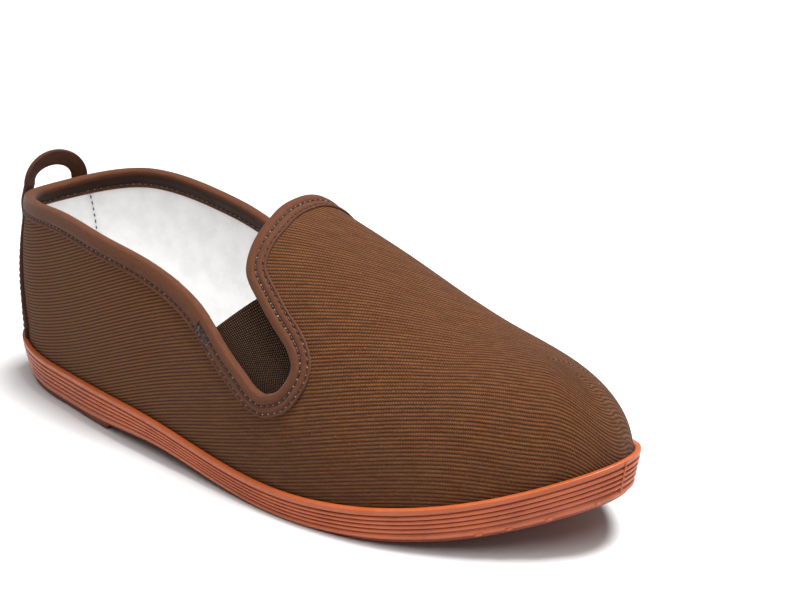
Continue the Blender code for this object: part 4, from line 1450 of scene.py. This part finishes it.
def makeInsole():
    stations = np.linspace(0, 1, insole["stations"])
    rings = []
    for inset, lift in insole["profile"]:
        rings.append(soleRing(stations, plain(insole["inset"] + inset), bedLift(lift)))
    grid = np.stack(rings)
    points = grid.reshape(-1, 3)
    material = makeCotton("insoleCotton", insole)
    piece = newPiece("insoleSock", points, slabFaces(*grid.shape[:2]), material, points[:, :2])
    fixNormals(piece)
    return finishPiece(piece, "insole", "insole")


makeInsole()


# camera, light and floor

view = {
    "target": (135.0, 0.0, 30.0),
    "back": (0.6033, -0.7081, 0.3670),
    "distance": 580.3,
    "pan": 3.70,
    "tilt": 2.18,
    "roll": -1.07,
    "focalPixels": 1641.3,
    "imageWidth": 800.0,
    "sensor": 36.0,
}


def makeCamera():
    back = unit(np.array(view["back"]))
    forward = -back
    right = unit(np.cross(forward, (0.0, 0.0, 1.0)))
    up = np.cross(right, forward)
    pan, tilt, roll = (math.radians(view[name]) for name in ("pan", "tilt", "roll"))
    forward = forward * math.cos(pan) + right * math.sin(pan)
    right = np.cross(forward, up)
    forward = forward * math.cos(tilt) + up * math.sin(tilt)
    up = np.cross(right, forward)
    right, up = right * math.cos(roll) + up * math.sin(roll), -right * math.sin(roll) + up * math.cos(roll)
    data = bpy.data.cameras.new("camera")
    data.sensor_width = view["sensor"]
    data.lens = view["sensor"] * view["focalPixels"] / view["imageWidth"]
    data.clip_start, data.clip_end = 0.01, 50.0
    camera = addObject("camera", data)
    place = toWorld(np.array(view["target"]) + back * view["distance"])
    turn = Matrix((right, up, -forward)).transposed().to_4x4()
    camera.matrix_world = Matrix.Translation(Vector(place)) @ turn
    bpy.context.scene.camera = camera


studio = {
    "floorSize": 4.0,
    "floorTone": (0.62, 0.62, 0.62, 1.0),
    "world": 0.26,
    "lamps": {  # the way the light goes, spread in degrees, strength
        "over": ((-0.22, -0.1, -1.0), 20.0, 5.6),
        "front": ((-0.3, 0.42, -0.9), 40.0, 1.5),
    },
}


def makeStudio():
    half = studio["floorSize"] / 2
    mesh = bpy.data.meshes.new("floor")
    corners = [(-half, -half, 0), (half, -half, 0), (half, half, 0), (-half, half, 0)]
    mesh.from_pydata(corners, [], [(0, 1, 2, 3)])
    paper = {"Roughness": 0.7, "Base Color": studio["floorTone"], "Specular IOR Level": 0.1}
    mesh.materials.append(newMaterial("floorPaper", paper)[0])
    floor = addObject("floor", mesh)
    world = bpy.data.worlds.new("studioAir")
    world.use_nodes = True
    air = world.node_tree.nodes["Background"].inputs
    air["Color"].default_value = (1.0, 1.0, 1.0, 1.0)
    air["Strength"].default_value = studio["world"]
    bpy.context.scene.world = world
    for name, (way, spread, strength) in studio["lamps"].items():
        data = bpy.data.lights.new(name, "SUN")
        data.angle = math.radians(spread)
        data.energy = strength
        lamp = addObject(name, data)
        lamp.location = (0.0, 0.0, 1.0)
        lamp.rotation_euler = Vector(way).to_track_quat("-Z", "Y").to_euler()
    bpy.context.scene.view_settings.view_transform = "Standard"


makeCamera()
makeStudio()
print("camera and light ready")
